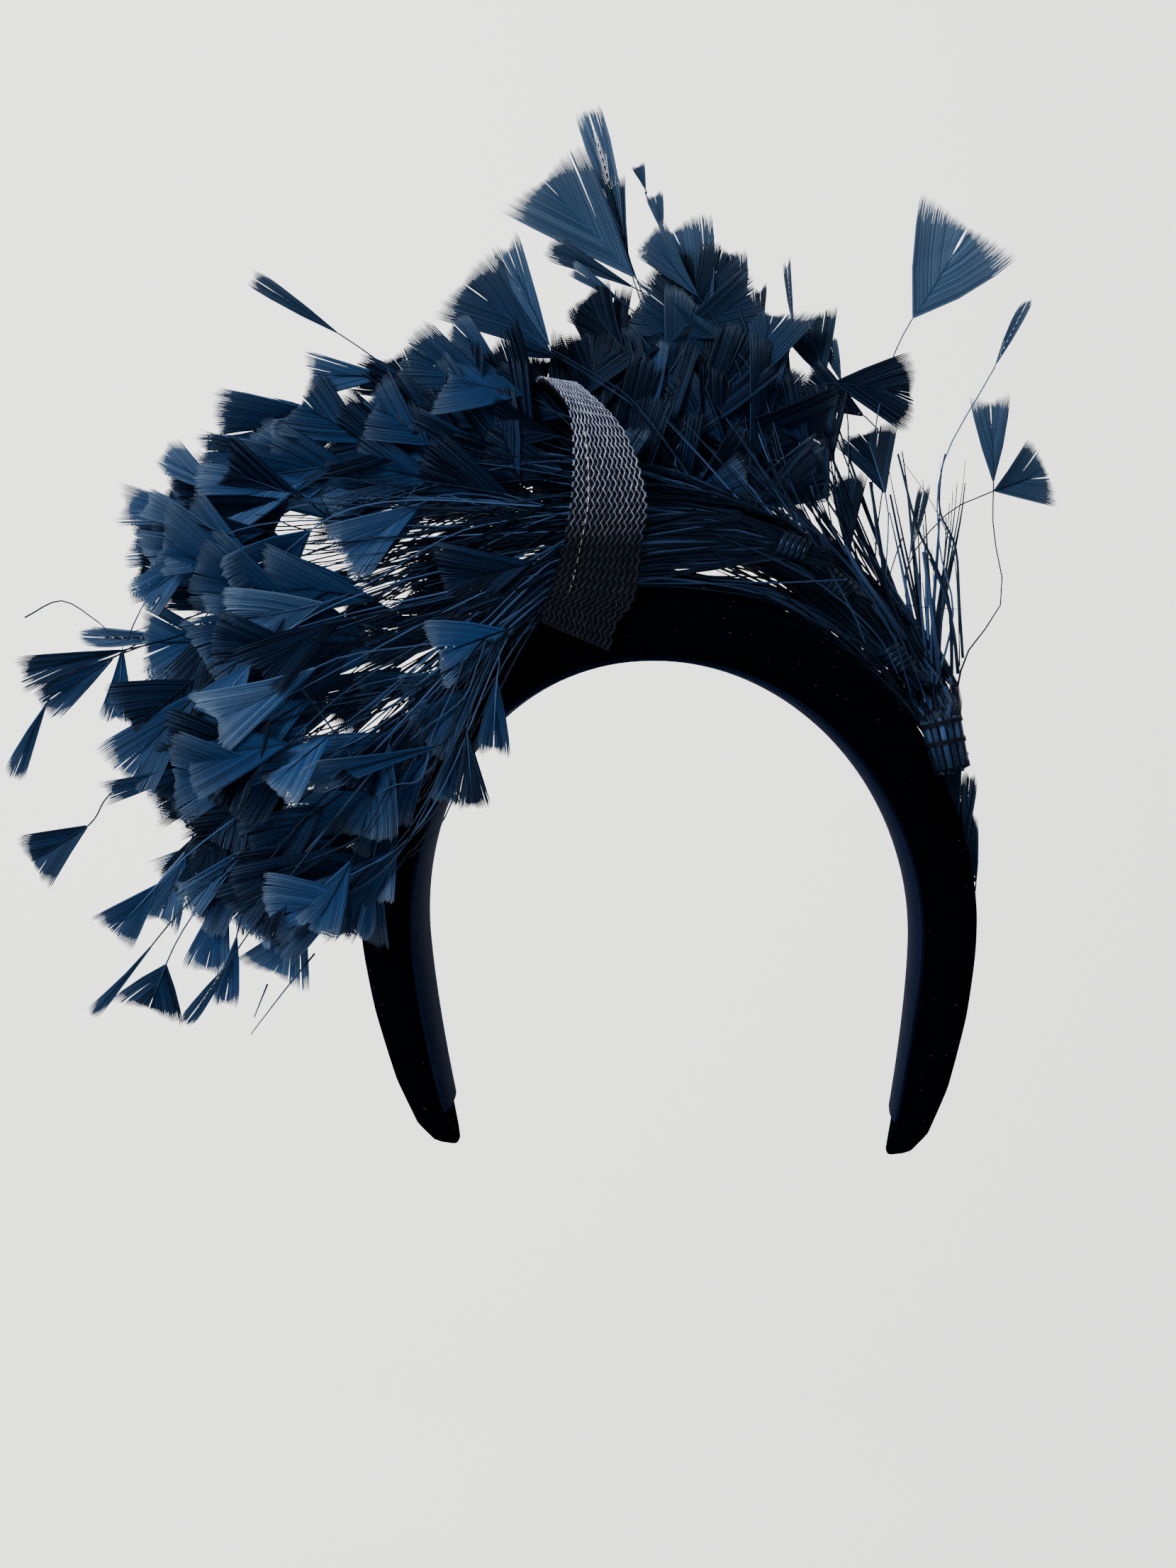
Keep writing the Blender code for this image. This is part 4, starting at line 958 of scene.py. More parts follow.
def lint_tree():
    """The tree that scatters short fibres over a surface."""
    group = Group("scatter_lint", Surface="Geometry", Density="Float", Seed="Int", Material="Material")
    seed = group.given["Seed"]
    inputs = {"Mesh": group.given["Surface"], "Density": group.given["Density"], "Seed": seed}
    spots = group.node("GeometryNodeDistributePointsOnFaces", {}, inputs)["Points"]
    inputs = {"Vertices": LINT_SIDES, "Radius": LINT_RADIUS * MM, "Depth": LINT_LENGTH * MM}
    fibre = group.node("GeometryNodeMeshCylinder", {}, inputs)["Mesh"]
    inputs = {0: LINT_TURNS[0], 1: LINT_TURNS[1], "Seed": seed}
    turn = group.node("FunctionNodeRandomValue", {"data_type": "FLOAT_VECTOR"}, inputs)["Value"]
    inputs = {2: LINT_SIZES[0], 3: LINT_SIZES[1], "Seed": seed}
    size = group.node("FunctionNodeRandomValue", {"data_type": "FLOAT"}, inputs)["Value"]
    inputs = {"Points": spots, "Instance": fibre, "Rotation": turn, "Scale": size}
    return group.finish(group.node("GeometryNodeInstanceOnPoints", {}, inputs)["Instances"])


def add_object(name, data):
    item = bpy.data.objects.new(name, data)
    bpy.context.scene.collection.objects.link(item)
    return item


def run_tree(item, tree, values, name):
    """The mesh that a tree makes from an object's mesh, in a new object without modifiers."""
    modifier = item.modifiers.new(tree.name, "NODES")
    modifier.node_group = tree
    for socket in tree.interface.items_tree:
        if socket.item_type == "SOCKET" and socket.in_out == "INPUT" and socket.name in values:
            modifier[socket.identifier] = values[socket.name]
    depsgraph = bpy.context.evaluated_depsgraph_get()
    data = bpy.data.meshes.new_from_object(item.evaluated_get(depsgraph))
    data.name = name
    bpy.data.objects.remove(item)
    return add_object(name, data)


def sweep_lines(name, lines, material, sides, flatness, smooth=True):
    """One object with a solid along each line."""
    data = bpy.data.meshes.new(name + "_lines")
    data.from_pydata([point * MM for point in lines.points], lines.edges, [])
    for key, values, scale in (("half_width", lines.half_widths, MM), ("along", lines.alongs, 1.0),
                               ("tone", lines.tones, 1.0)):
        layer = data.attributes.new(key, "FLOAT", "POINT")
        layer.data.foreach_set("value", [value * scale for value in values])
    layer = data.attributes.new("wide_way", "FLOAT_VECTOR", "POINT")
    layer.data.foreach_set("vector", [part for way in lines.wide_ways for part in way])
    values = {"Sides": sides, "Flatness": flatness, "Material": material}
    piece = run_tree(add_object(name + "_source", data), SWEEP, values, name)
    for key in ("half_width", "wide_way"):
        if key in piece.data.attributes:
            piece.data.attributes.remove(piece.data.attributes[key])
    if smooth:
        piece.data.shade_smooth()
    return piece


def velvet_material():
    shade = Shade("velvet_pile")
    cloud = shade.noise(55.0, 3.0)
    pile = shade.noise(1600.0, 2.0)
    base = shade.mix(cloud * pile, (0.0001, 0.0001, 0.0003), (0.0008, 0.001, 0.0028))
    shade.set(Base_Color=base, Roughness=0.95, Specular_IOR_Level=0.0)
    shade.set(Sheen_Weight=0.004, Sheen_Roughness=0.35, Sheen_Tint=(0.3, 0.4, 0.7, 1.0))
    shade.bump(pile, 0.0006)
    return shade.material


def facing_material():
    shade = Shade("facing_pile")
    pile = shade.noise(1500.0, 2.0)
    base = shade.mix(pile, (0.0003, 0.0008, 0.0035), (0.001, 0.0035, 0.014))
    shade.set(Base_Color=base, Roughness=0.9, Specular_IOR_Level=0.02)
    shade.set(Sheen_Weight=0.01, Sheen_Roughness=0.35, Sheen_Tint=(0.3, 0.45, 0.9, 1.0))
    shade.bump(pile, 0.0005)
    return shade.material


def vane_material():
    """Blue barbs with painted light: greyer at the right and the top and paler at their tips, as painted
    light shining through thin vanes, and from near black to pale with their tone, which holds painted light
    and shade."""
    shade = Shade("feather_barbs")
    tone = shade.attribute("tone")
    # Painted light: the barbs turn greyer towards the right and the top, as if lit through from behind.
    greyer = (shade.ramp("X", 30.0, 80.0) + shade.ramp("Z", 70.0, 120.0)).clamp()
    blue = shade.mix(greyer, (0.0045, 0.019, 0.060), (0.0085, 0.020, 0.043))
    dark = shade.mix((tone * 2.0).clamp(), (0.0001, 0.0005, 0.0028), blue)
    body = shade.mix((tone * 2.0 - 1.0).clamp(), dark, (0.052, 0.086, 0.145))
    # Painted light: the tips of the barbs are paler, as if lit through from behind.
    tips = shade.mix((shade.attribute("along") ** 3.0 * tone).clamp(), body, (0.14, 0.19, 0.25))
    shade.set(Base_Color=tips, Roughness=0.45, Specular_IOR_Level=0.07, Specular_Tint=COOL)
    return shade.material


def quill_material():
    """Quills that are darker in the shade at their roots."""
    shade = Shade("feather_quills")
    away = (shade.attribute("along") * 1.8).clamp() * 0.85 + 0.15
    factor = (shade.attribute("tone") * away).clamp()
    base = shade.mix(factor, (0.0001, 0.0004, 0.002), (0.020, 0.042, 0.100))
    shade.set(Base_Color=base, Roughness=0.33, Specular_IOR_Level=0.1, Specular_Tint=COOL)
    return shade.material


def strand_material():
    """Strands painted near black towards the strap's foot as painted shade, and lighter towards its top."""
    shade = Shade("braid_strands")
    # Painted shade: the strands darken towards the strap's foot by their height.
    factor = (shade.attribute("tone") * (shade.ramp("Z", 29.7, 60.95) + 0.03)).clamp()
    base = shade.mix(factor, (0.0002, 0.0003, 0.001), (0.26, 0.30, 0.44))
    shade.set(Base_Color=base, Roughness=0.35, Specular_IOR_Level=0.06, Specular_Tint=COOL)
    return shade.material


def gold_material():
    """Gold thread painted darker towards the strap's foot, as painted shade."""
    shade = Shade("gold_thread")
    # Painted shade: the gold darkens towards the strap's foot by its height.
    base = shade.mix(shade.ramp("Z", 30.0, 55.0), (0.06, 0.05, 0.035), (0.75, 0.68, 0.5))
    shade.set(Base_Color=base, Roughness=0.3, Metallic=0.8)
    return shade.material


def plain_material(name, base, roughness):
    """One colour with fine darker specks."""
    shade = Shade(name)
    dark = tuple(part * 0.7 for part in base)
    shade.set(Base_Color=shade.mix(shade.noise(900.0, 2.0), dark, base))
    shade.set(Roughness=roughness, Specular_IOR_Level=0.05)
    return shade.material


def loft(name, rings, material):
    """One closed solid through rings of equal length, given in millimetres."""
    mesh = bmesh.new()
    rows = [[mesh.verts.new(point * MM) for point in ring] for ring in rings]
    count = len(rings[0])
    for first, second in zip(rows, rows[1:]):
        for index in range(count):
            after = (index + 1) % count
            mesh.faces.new((first[index], first[after], second[after], second[index]))
    mesh.faces.new(list(reversed(rows[0])))
    mesh.faces.new(rows[-1])
    bmesh.ops.recalc_face_normals(mesh, faces=mesh.faces)
    data = bpy.data.meshes.new(name)
    mesh.to_mesh(data)
    mesh.free()
    data.materials.append(material)
    data.shade_smooth()
    data.set_sharp_from_angle(angle=SHARP_ANGLE)
    return add_object(name, data)


def band_places(count):
    """Places of the band's sections on the arch, closer together at the tips, where it rounds off."""
    places = []
    for index in range(count + 1):
        swing = 2.0 * index / count - 1.0
        places.append(math.copysign(1.0 - (1.0 - abs(swing)) ** TIP_CROWDING, swing))
    return places


def build_headband(velvet):
    angles = [2 * math.pi * step / VELVET_POINTS for step in range(VELVET_POINTS)]
    rings = [[band_skin(along, angle, 0.0) for angle in angles] for along in band_places(VELVET_SECTIONS)]
    piece = loft("velvet_headband", rings, velvet)
    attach(piece, "root")
    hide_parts("headband")
    return piece


def build_lint(headband, material):
    """Fine pale fibres that cling to the pile."""
    values = {"Density": LINT_PER_SQUARE_METRE, "Seed": LINT_SEED, "Material": material}
    piece = run_tree(add_object("lint_source", headband.data.copy()), lint_tree(), values, "velvet_lint")
    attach(piece, "root")


def build_facing(velvet):
    """A strip under the band. On the right it turns further up the band's front edge."""
    rings = []
    for along in band_places(VELVET_SECTIONS):
        if abs(along) > FACING_REACH:
            continue
        rise = ease((along - TURN_UP_START) / TURN_UP_RISE)
        fall = ease((TURN_UP_END - along) / TURN_UP_FALL)
        last = FACING_FRONT_ANGLE - TURN_UP * rise * fall
        angles = [math.radians(between(FACING_BACK_ANGLE, last, step / FACING_STEPS))
                  for step in range(FACING_STEPS + 1)]
        inner = [band_skin(along, angle, FACING_LIFT) for angle in angles]
        outer = [band_skin(along, angle, FACING_LIFT + FACING_THICKNESS) for angle in angles]
        rings.append(inner + list(reversed(outer)))
    piece = loft("velvet_facing", rings, velvet)
    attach(piece, "root")
    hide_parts("inner_facing")


class StrapSkin:
    """The strap's middle surface by its share across and the distance along it in millimetres."""

    def __init__(self):
        pairs = strap_edges()
        self.left = [pair[0] for pair in pairs]
        self.right = [pair[1] for pair in pairs]
        self.steps = STRAP_ROW_STEPS * (len(pairs) - 1)
        self.lengths = [0.0]
        last = self.inside(0.0, 0.5)
        for step in range(1, self.steps + 1):
            here = self.inside(step / self.steps, 0.5)
            self.lengths.append(self.lengths[-1] + (here - last).length)
            last = here
        self.length = self.lengths[-1]

    def inside(self, share, across):
        return smooth_line(self.left, share).lerp(smooth_line(self.right, share), across)

    def share_at(self, distance):
        for step in range(1, self.steps + 1):
            if distance <= self.lengths[step]:
                part = (distance - self.lengths[step - 1]) / (self.lengths[step] - self.lengths[step - 1])
                return (step - 1 + part) / self.steps
        return 1.0

    def spot(self, across, distance):
        """Point, outward way, way across and way along at a place on the strap."""
        share = self.share_at(distance)
        ahead = self.inside(min(1.0, share + STRAP_LOOK), across)
        run = (ahead - self.inside(max(0.0, share - STRAP_LOOK), across)).normalized()
        side = (smooth_line(self.right, share) - smooth_line(self.left, share)).normalized()
        return self.inside(share, across), side.cross(run).normalized(), side, run


def strap_core(skin, material):
    rings = []
    for step in range(STRAP_SECTIONS + 1):
        ring = []
        for across, lift in CORE_RING:
            point, out = skin.spot(across, skin.length * step / STRAP_SECTIONS)[:2]
            ring.append(point + out * lift)
        rings.append(ring)
    return loft("strap_core", rings, material)


def braid_lines(skin, rng):
    """Two families of strands that cross the strap both ways and pass over and under each other. Where a
    strand passes under another it is painted near black, as painted shade.
    """
    lines = Lines()
    climb = BRAID_STEEPNESS * STRAP_WIDTH
    half_steps = 2 * int(round(2 * climb / BRAID_PITCH))
    for family in (1, -1):
        start = -climb
        while start < skin.length:
            points, ways, tones = [], [], []
            brightness = rng.uniform(*STRAND_TONES)
            for half_step in range(half_steps + 1):
                distance = start + climb * half_step / half_steps
                if not 0.0 <= distance <= skin.length:
                    continue
                across = half_step / half_steps
                if family < 0:
                    across = 1.0 - across
                point, out, side, run = skin.spot(across, distance)
                over = 0.5 if half_step % 2 else (half_step // 2 + (family > 0)) % 2
                points.append(point + out * (BRAID_LIFT + CROSSING_LIFT * over))
                # Painted shade: a strand is painted near black where it passes under another.
                tones.append(brightness * rng.uniform(*STRAND_CHANGES) if over else UNDER_STRAND_SHADE)
                ways.append((side * BRAID_STEEPNESS - run * family).normalized())
            if len(points) > 1:
                lines.add(points, BRAID_HALF_WIDTH, ways, tones)
            start += BRAID_PITCH
    return lines


def gold_lines(skin, rng):
    """Short stitches of one thread along the strap's left half."""
    lines = Lines()
    distance = GOLD_START
    while distance < GOLD_END:
        step = rng.uniform(*GOLD_POINT_STEPS)
        spots = [skin.spot(GOLD_ACROSS, distance + step * index) for index in range(GOLD_POINTS)]
        points = [point + out * GOLD_LIFT for point, out, side, run in spots]
        lines.add(points, GOLD_HALF_WIDTH, [side for point, out, side, run in spots], GOLD_TONE)
        distance += rng.uniform(*GOLD_DASH_STEPS)
    return lines


def build_strap(core_material, strand, gold):
    skin = StrapSkin()
    rng = random.Random(BRAID_SEED)
    core = strap_core(skin, core_material)
    strands = sweep_lines("strap_strands", braid_lines(skin, rng), strand, BRAID_SIDES, BRAID_FLATNESS)
    thread = sweep_lines("strap_gold_thread", gold_lines(skin, rng), gold, GOLD_SIDES, GOLD_FLATNESS)
    for piece in (core, strands, thread):
        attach(piece, "root")
    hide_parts("gathering_strap")


def own_layer(feather):
    """A feather's layer in its bunch, changed a little by its place so that no two lie in one plane."""
    change = LAYER_CHANGE * math.sin(feather.tip_u * LAYER_WAVES[0] + feather.tip_v * LAYER_WAVES[1])
    return 0.5 + (feather.layer - 0.5) * (1 - 2 * LAYER_CHANGE) + change


def quill_chart(feather, bunch, sides, earlier):
    """Points of a feather's quill in the chart, from its cut end to the vane's base, each with its share of
    the bunch's middle line. sides are its places beside that line at the root and half way."""
    base = Vector((feather.base_u, feather.base_v))
    tip = Vector((feather.tip_u, feather.tip_v))
    first_goal = Vector(feather.via[0]) if feather.via else base
    share = max(LEAST_SHARE, leaving_share(bunch, first_goal) * earlier)
    spine = [Vector(row) for row in bunch.spine]

    def beside(at, offset):
        here = smooth_line(spine, at)
        ahead = smooth_line(spine, min(1.0, at + SPINE_LOOK))
        run = Vector((ahead.x - here.x, ahead.y - here.y)).normalized()
        side = Vector((run.y, -run.x))
        return Vector((here.x, here.y)) + side * offset * here.z, run, side

    start, run, side = beside(share, 0.0)
    lean = side.dot((first_goal - start).normalized()) * LEAN_TO_GOAL + sides[1] * LEAN_TO_SIDE
    points = []
    count = max(3, int(share * SPINE_STEPS))
    for step in range(count):
        at = step / count
        wave = math.sin(WANDER_WAVES * share * at + WANDER_PHASE * sides[1])
        wander = WANDER * wave * ease(share * at / WANDER_FADE)
        offset = between(sides[0], sides[1], ease(share * at / SETTLED_SHARE)) + wander
        points.append((beside(share * at, between(offset, lean, ease(at * 2 - 1)))[0], share * at))
    start = beside(share, lean)[0]
    if feather.via:
        bends = [start] + [Vector(point) for point in feather.via] + [base]
        total = sum((b - a).length for a, b in zip(bends, bends[1:]))
        steps = max(4, int(total / QUILL_STEP))
        return points + [(smooth_line(bends, step / steps), 1.0) for step in range(steps + 1)]
    length = (base - start).length
    heading = (tip - base).normalized()
    first = start + run * length * HANDLE
    second = base - heading * length * HANDLE
    steps = max(4, int(length / QUILL_STEP))
    for step in range(steps + 1):
        t = step / steps
        points.append((start * (1 - t) ** 3 + first * 3 * t * (1 - t) ** 2
                       + second * 3 * t * t * (1 - t) + base * t ** 3, 1.0))
    return points


def quill_line(feather, bunch, spread, earlier, rng):
    """Points, half widths and wide ways of one feather's quill, from its cut end to its vane."""
    own = own_layer(feather)
    swing = 2.0 * own - 1.0
    root_reach = FIRST_ROOT_REACH if bunch.number == 1 else ROOT_REACH
    root_side = rng.uniform(-root_reach, root_reach) * math.sqrt(max(0.1, 1.0 - (ROOT_ROUNDING * swing) ** 2))
    sides = (root_side, rng.uniform(-spread, spread))
    points = []
    for chart, share in quill_chart(feather, bunch, sides, earlier):
        in_root = 1.0 - ease(share / ROOT_SHARE)
        depth = spine_depth(bunch, chart.x, chart.y, own) + swing * ROOT_DEPTH * bunch.spine[0][2] * in_root
        points.append(place(chart.x, chart.y, depth))
    back = (points[0] - points[1]).normalized()
    points.insert(0, points[0] + back * rng.uniform(*CUT_END_REACHES))
    last = len(points) - 1
    root_width = rng.uniform(*ROOT_WIDTHS)
    if bunch.number == 1 and not feather.via:
        root_width = rng.uniform(*FIRST_ROOT_WIDTHS)
    end_width = QUILL_END
    if feather.width <= BARE_WIDTH:
        end_width = between(QUILL_END, root_width, rng.uniform(*BARE_END_SHARES))
    widths = []
    for index in range(len(points)):
        narrowing = ease(index / last * QUILL_NARROWING)
        widths.append(QUILL_HALF_WIDTH * between(root_width, end_width, narrowing))
    return points, widths, ways_across(points)


def barb_paths(length, width, side, rachis, notch, rounding, rng):
    """Start and end of each barb on one side of a vane, from its side edge to its notch."""
    count = max(LEAST_BARB_COUNT, round(math.hypot(width / 2, notch * length) / BARB_SPACING))
    slits = [(rng.uniform(*SLIT_PLACES), rng.uniform(*SLIT_GAPS)) for _ in range(rng.choice(SLIT_COUNTS))]
    phase = rng.uniform(0.0, 6.0)
    paths = []
    for index in range(count):
        t = (index + 0.5) / count
        t_end = t
        for at, gap in slits:
            t_end += math.copysign(gap, t - at) * math.exp(-abs(t - at) / SLIT_FADE)
        t_end = min(1.0, max(0.0, t_end))
        start = Vector((rachis * length * t ** RACHIS_CROWDING, 0.0))
        back = notch * t_end ** NOTCH_CURVE + rounding * (1.0 - t_end) ** 3
        end = Vector((length * (1.0 - back), side * width / 2 * (1.0 - t_end)))
        ragged = RAGGED_WAVE * (1 + math.sin(index * RAGGED_PITCH + phase))
        reach = 1.0 - ragged - rng.uniform(0.0, RAGGED_END)
        paths.append((start, start + (end - start) * reach))
    return paths


def add_vane(barbs, base, run, length, across, width, tone, rng):
    """The barbs of one vane, which leave its rachis forwards on both sides and end on a line with a notch.
    Returns the rachis' points."""
    through = across.cross(run)
    rachis = rng.uniform(*RACHIS_LENGTHS)
    notch = rng.uniform(*NOTCHES)
    rounding = rng.uniform(*ROUNDINGS)
    cup = rng.uniform(*CUPS) * width
    bend = rng.uniform(*BENDS) * length
    bow = rng.uniform(*BOWS)

    def lift(flat, rise):
        sway = bend * (flat.x / length) ** 2
        return base + run * flat.x + across * (flat.y + sway) + through * rise

    for side in (-1, 1):
        rows = []
        overs = []
        for start, end in barb_paths(length, width, side, rachis, notch, rounding, rng):
            way = end - start
            over = Vector((-way.y, way.x)).normalized() * side
            rows.append([start + way * q + over * bow * way.length * 4 * q * (1 - q) for q in BARB_STEPS])
            overs.append(over)
        for index, (row, over) in enumerate(zip(rows, overs)):
            beside = rows[index + 1] if index + 1 < len(rows) else rows[index - 1]
            points, widths = [], []
            for flat, other, q, cover in zip(row, beside, BARB_STEPS, BARB_COVER):
                spacing = min(WIDEST_SPACING, abs((other - flat).dot(over)))
                rise = cup * (2 * flat.y / width) ** 2 + rng.uniform(-BARB_RISE, BARB_RISE) * q
                points.append(lift(flat, rise))
                widths.append(max(LEAST_BARB, BARB_SHARE * spacing * cover))
            wide_way = (run * over.x + across * over.y).normalized()
            barbs.add(points, widths, wide_way, tone + rng.uniform(-BARB_TONE_CHANGE, BARB_TONE_CHANGE))
    return [lift(Vector((length * rachis * share, 0.0)), RACHIS_LIFT) for share in RACHIS_PLACES]


def vane_frame(feather, bunch):
    """Base, run, length, way across and width of a feather's vane."""
    own = own_layer(feather)
    tip_depth = depth_at(feather.tip_u, feather.tip_v, between(bunch.back, bunch.front, own))
    base = place(feather.base_u, feather.base_v, spine_depth(bunch, feather.base_u, feather.base_v, own))
    tip = place(feather.tip_u, feather.tip_v, tip_depth)
    run = (tip - base).normalized()
    flat, facing = ways_round(run)
    turn = math.radians(feather.turn)
    across = flat * math.cos(turn) + facing * math.sin(turn)
    width = FRINGE_REACH * feather.width / math.cos(turn) * (1.0 - tip_depth / EYE_DISTANCE)
    return base, run, FRINGE_REACH * (tip - base).length, across, width


def quill_tone(rng):
    """Most quills are near black, and a few are a lighter blue."""
    return rng.random() ** QUILL_TONE_POWER * QUILL_TONE


def rising(value, start, end):
    """0 up to the start and 1 past the end, with an easy change between them."""
    return ease((value - start) / (end - start))


def tone_of(feather):
    """Painted light and shade: feathers at the left, the right and the top are painted brighter as if lit,
    those low at the left darker, and those in the middle near black as painted shade.
    """
    low = rising(feather.tip_v, *LOW_V) * rising(feather.tip_u, *LOW_U)
    right = rising(feather.tip_u, *RIGHT_U) * between(RIGHT_LOW_SHARE, 1.0, rising(feather.tip_v, *RIGHT_V))
    return (BASE_TONE + LEFT_PAINTED_LIGHT * rising(feather.tip_u, *LEFT_U) - LOW_PAINTED_SHADE * low + RIGHT_PAINTED_LIGHT * right
            + TOP_PAINTED_LIGHT * rising(feather.tip_v, *TOP_V))


def in_dense_part(u, v):
    """Where the plume is so thick that the feathers behind the charted ones fill its gaps."""
    left_part = DENSE_LEFT < u < DENSE_MIDDLE and 0 < v < DENSE_LEFT_TOP
    low_part = DENSE_LEFT < u < DENSE_LOW_RIGHT and DENSE_LOW_BOTTOM < v <= 0 and u + v > DENSE_LOW_CORNER
    right_part = DENSE_MIDDLE <= u < DENSE_RIGHT and DENSE_RIGHT_BOTTOM < v < DENSE_RIGHT_TOP
    return left_part or low_part or right_part


def in_clear_place(point):
    return any((Vector(middle) - point).length < radius for middle, radius in CLEAR_PLACES)


def mates_of(feather, rng):
    """Feathers like this one close beside and behind it, where the plume is dense."""
    middle_u = (feather.base_u + feather.tip_u) / 2
    middle_v = (feather.base_v + feather.tip_v) / 2
    if feather.width < LEAST_MATED_WIDTH or not in_dense_part(middle_u, middle_v):
        return []
    mates = []
    for _ in range(MATES):
        tip = Vector((feather.tip_u, feather.tip_v))
        out = (tip - Vector(PLUME_HEART)).normalized()
        side = Vector((out.y, -out.x))
        tip = tip - out * rng.uniform(0.0, MATE_BACK) + side * rng.uniform(-MATE_SIDE, MATE_SIDE)
        swing = math.radians(rng.uniform(-MATE_SWING, MATE_SWING))
        way = Vector((out.x * math.cos(swing) - out.y * math.sin(swing),
                      out.x * math.sin(swing) + out.y * math.cos(swing))) * rng.uniform(*MATE_LENGTHS)
        base = tip - way
        centre = (base + tip) / 2
        if not in_dense_part(centre.x, centre.y) or in_clear_place(centre):
            continue
        mates.append(feather._replace(base_u=base.x, base_v=base.y, tip_u=tip.x, tip_v=tip.y,
                                      width=rng.uniform(*MATE_WIDTHS), layer=rng.random(),
                                      turn=rng.choice((-1, 1)) * rng.uniform(0, MATE_TURN), via=()))
    return mates


def add_field(quills, field, rng):
    """Bare quills that end inside one part of the plume."""
    bunch = BUNCHES[field.bunch - 1]
    spread = FIRST_FIELD_SPREAD if field.bunch == 1 else FIELD_SPREAD
    for _ in range(field.count):
        base = Vector((rng.uniform(field.left, field.right), rng.uniform(field.bottom, field.top)))
        if in_clear_place(base):
            continue
        start = Vector(bunch.spine[0][:2] if base.x > PLUME_HEART[0] - HEART_MARGIN else PLUME_HEART)
        tip = base + (base - start).normalized() * BARE_RUN
        feather = Feather(field.bunch, base.x, base.y, tip.x, tip.y, BARE_WIDTH, rng.random(), 0)
        earlier = rng.uniform(field.earliest, field.latest)
        points, widths, ways = quill_line(feather, bunch, spread, earlier, rng)
        last = len(widths) - 1
        for index in range(len(widths)):
            widths[index] *= between(1.0, FIELD_END, rising(index / last, FIELD_TAPER_START, 1.0))
        quills.add(points, widths, ways, quill_tone(rng))


def add_chart_line(quills, bends, layer, half_width, tone):
    """A bare quill through points in the chart, at one layer of the plume."""
    steps = CHART_LINE_STEPS * (len(bends) - 1)
    points = []
    for step in range(steps + 1):
        spot = smooth_line(bends, step / steps)
        points.append(place(spot.x, spot.y, depth_at(spot.x, spot.y, layer)))
    widths = [half_width * between(1.0, QUILL_END, step / steps) for step in range(steps + 1)]
    quills.add(points, widths, ways_across(points), tone)


def add_root_ribs(quills):
    """Broad cut quills side by side round the front of the first bunch's root."""
    for rib in range(ROOT_RIBS):
        angle = math.radians(between(-ROOT_RIB_ANGLE, ROOT_RIB_ANGLE, rib / (ROOT_RIBS - 1)))
        points, ways = [], []
        for along in ROOT_RIB_PLACES:
            middle, run, half = root_frame(BUNCHES[0], along)
            flat, deep = ways_round(run)
            reach = half + ROOT_RIB_LIFT
            points.append(middle + flat * reach * math.sin(angle) + deep * reach * math.cos(angle))
            ways.append(flat * math.cos(angle) - deep * math.sin(angle))
        points[0] += (points[0] - points[1]).normalized() * ROOT_OVERHANG
        quills.add(points, ROOT_RIB_HALF_WIDTHS, ways, ROOT_RIB_TONES[rib % len(ROOT_RIB_TONES)])


def add_low_quills(quills, rng):
    """Quills that lie low along the top of the band and cross each other."""
    for _ in range(LOW_QUILL_COUNT):
        first = rng.randint(0, LAST_LOW_START)
        bends = []
        for u, v in LOW_QUILLS[first:rng.randint(FIRST_LOW_END, len(LOW_QUILLS))]:
            across = rng.uniform(-LOW_QUILL_WANDER, LOW_QUILL_WANDER)
            bends.append(Vector((u + across, v + rng.uniform(*LOW_QUILL_HEIGHTS) * LOW_QUILL_SPREAD)))
        layer = rng.uniform(*LOW_QUILL_LAYERS)
        add_chart_line(quills, bends, layer, rng.uniform(*LOW_QUILL_HALF_WIDTHS), quill_tone(rng))


def add_feather(barbs, quills, feather, rng, mate):
    """One vane and its quill. A mate is painted darker, as painted shade on the layers behind, and its quill
    lies further out in the sheaf and leaves it earlier."""
    bunch = BUNCHES[feather.bunch - 1]
    tone = tone_of(feather) + rng.uniform(*TONE_CHANGES)
    spread = CHARTED_SPREAD
    earlier = 1.0
    if mate:
        # Painted shade: a mate behind the charted feathers is painted darker.
        tone -= rng.uniform(0.0, MATE_PAINTED_SHADE)
        spread = MATE_SPREAD
        earlier = rng.uniform(FIRST_MATE_EARLIEST if bunch.number == 1 else MATE_EARLIEST, 1.0)
    points, widths, ways = quill_line(feather, bunch, spread, earlier, rng)
    base, run, length, across, width = vane_frame(feather, bunch)
    rachis = add_vane(barbs, base, run, length, across, width, max(LEAST_TONE, tone), rng)
    for index, point in enumerate(rachis):
        points.append(point)
        widths.append(QUILL_HALF_WIDTH * between(QUILL_END, RACHIS_END, index / (len(rachis) - 1)))
        ways.append(across)
    quills.add(points, widths, ways, quill_tone(rng))


def fill_bunch(bunch, barbs, quills, rng):
    """Add all of one bunch: the charted feathers, their mates, the fillers and the bare quills."""
    for feather in FEATHERS:
        if feather.bunch != bunch.number:
            continue
        add_feather(barbs, quills, feather, rng, False)
        for mate in mates_of(feather, rng):
            add_feather(barbs, quills, mate, rng, True)
    for feather in FILLERS:
        if feather.bunch == bunch.number:
            add_feather(barbs, quills, feather, rng, True)
    for field in QUILL_FIELDS:
        if field.bunch == bunch.number:
            add_field(quills, field, rng)
    for row in BARE_QUILLS:
        if row.bunch != bunch.number:
            continue
        layer = between(bunch.back, bunch.front, row.layer)
        add_chart_line(quills, [Vector(point) for point in row.points], layer, row.half_width, row.tone)
    if bunch.number == 1:
        add_root_ribs(quills)
    if bunch.number == 4:
        add_low_quills(quills, rng)


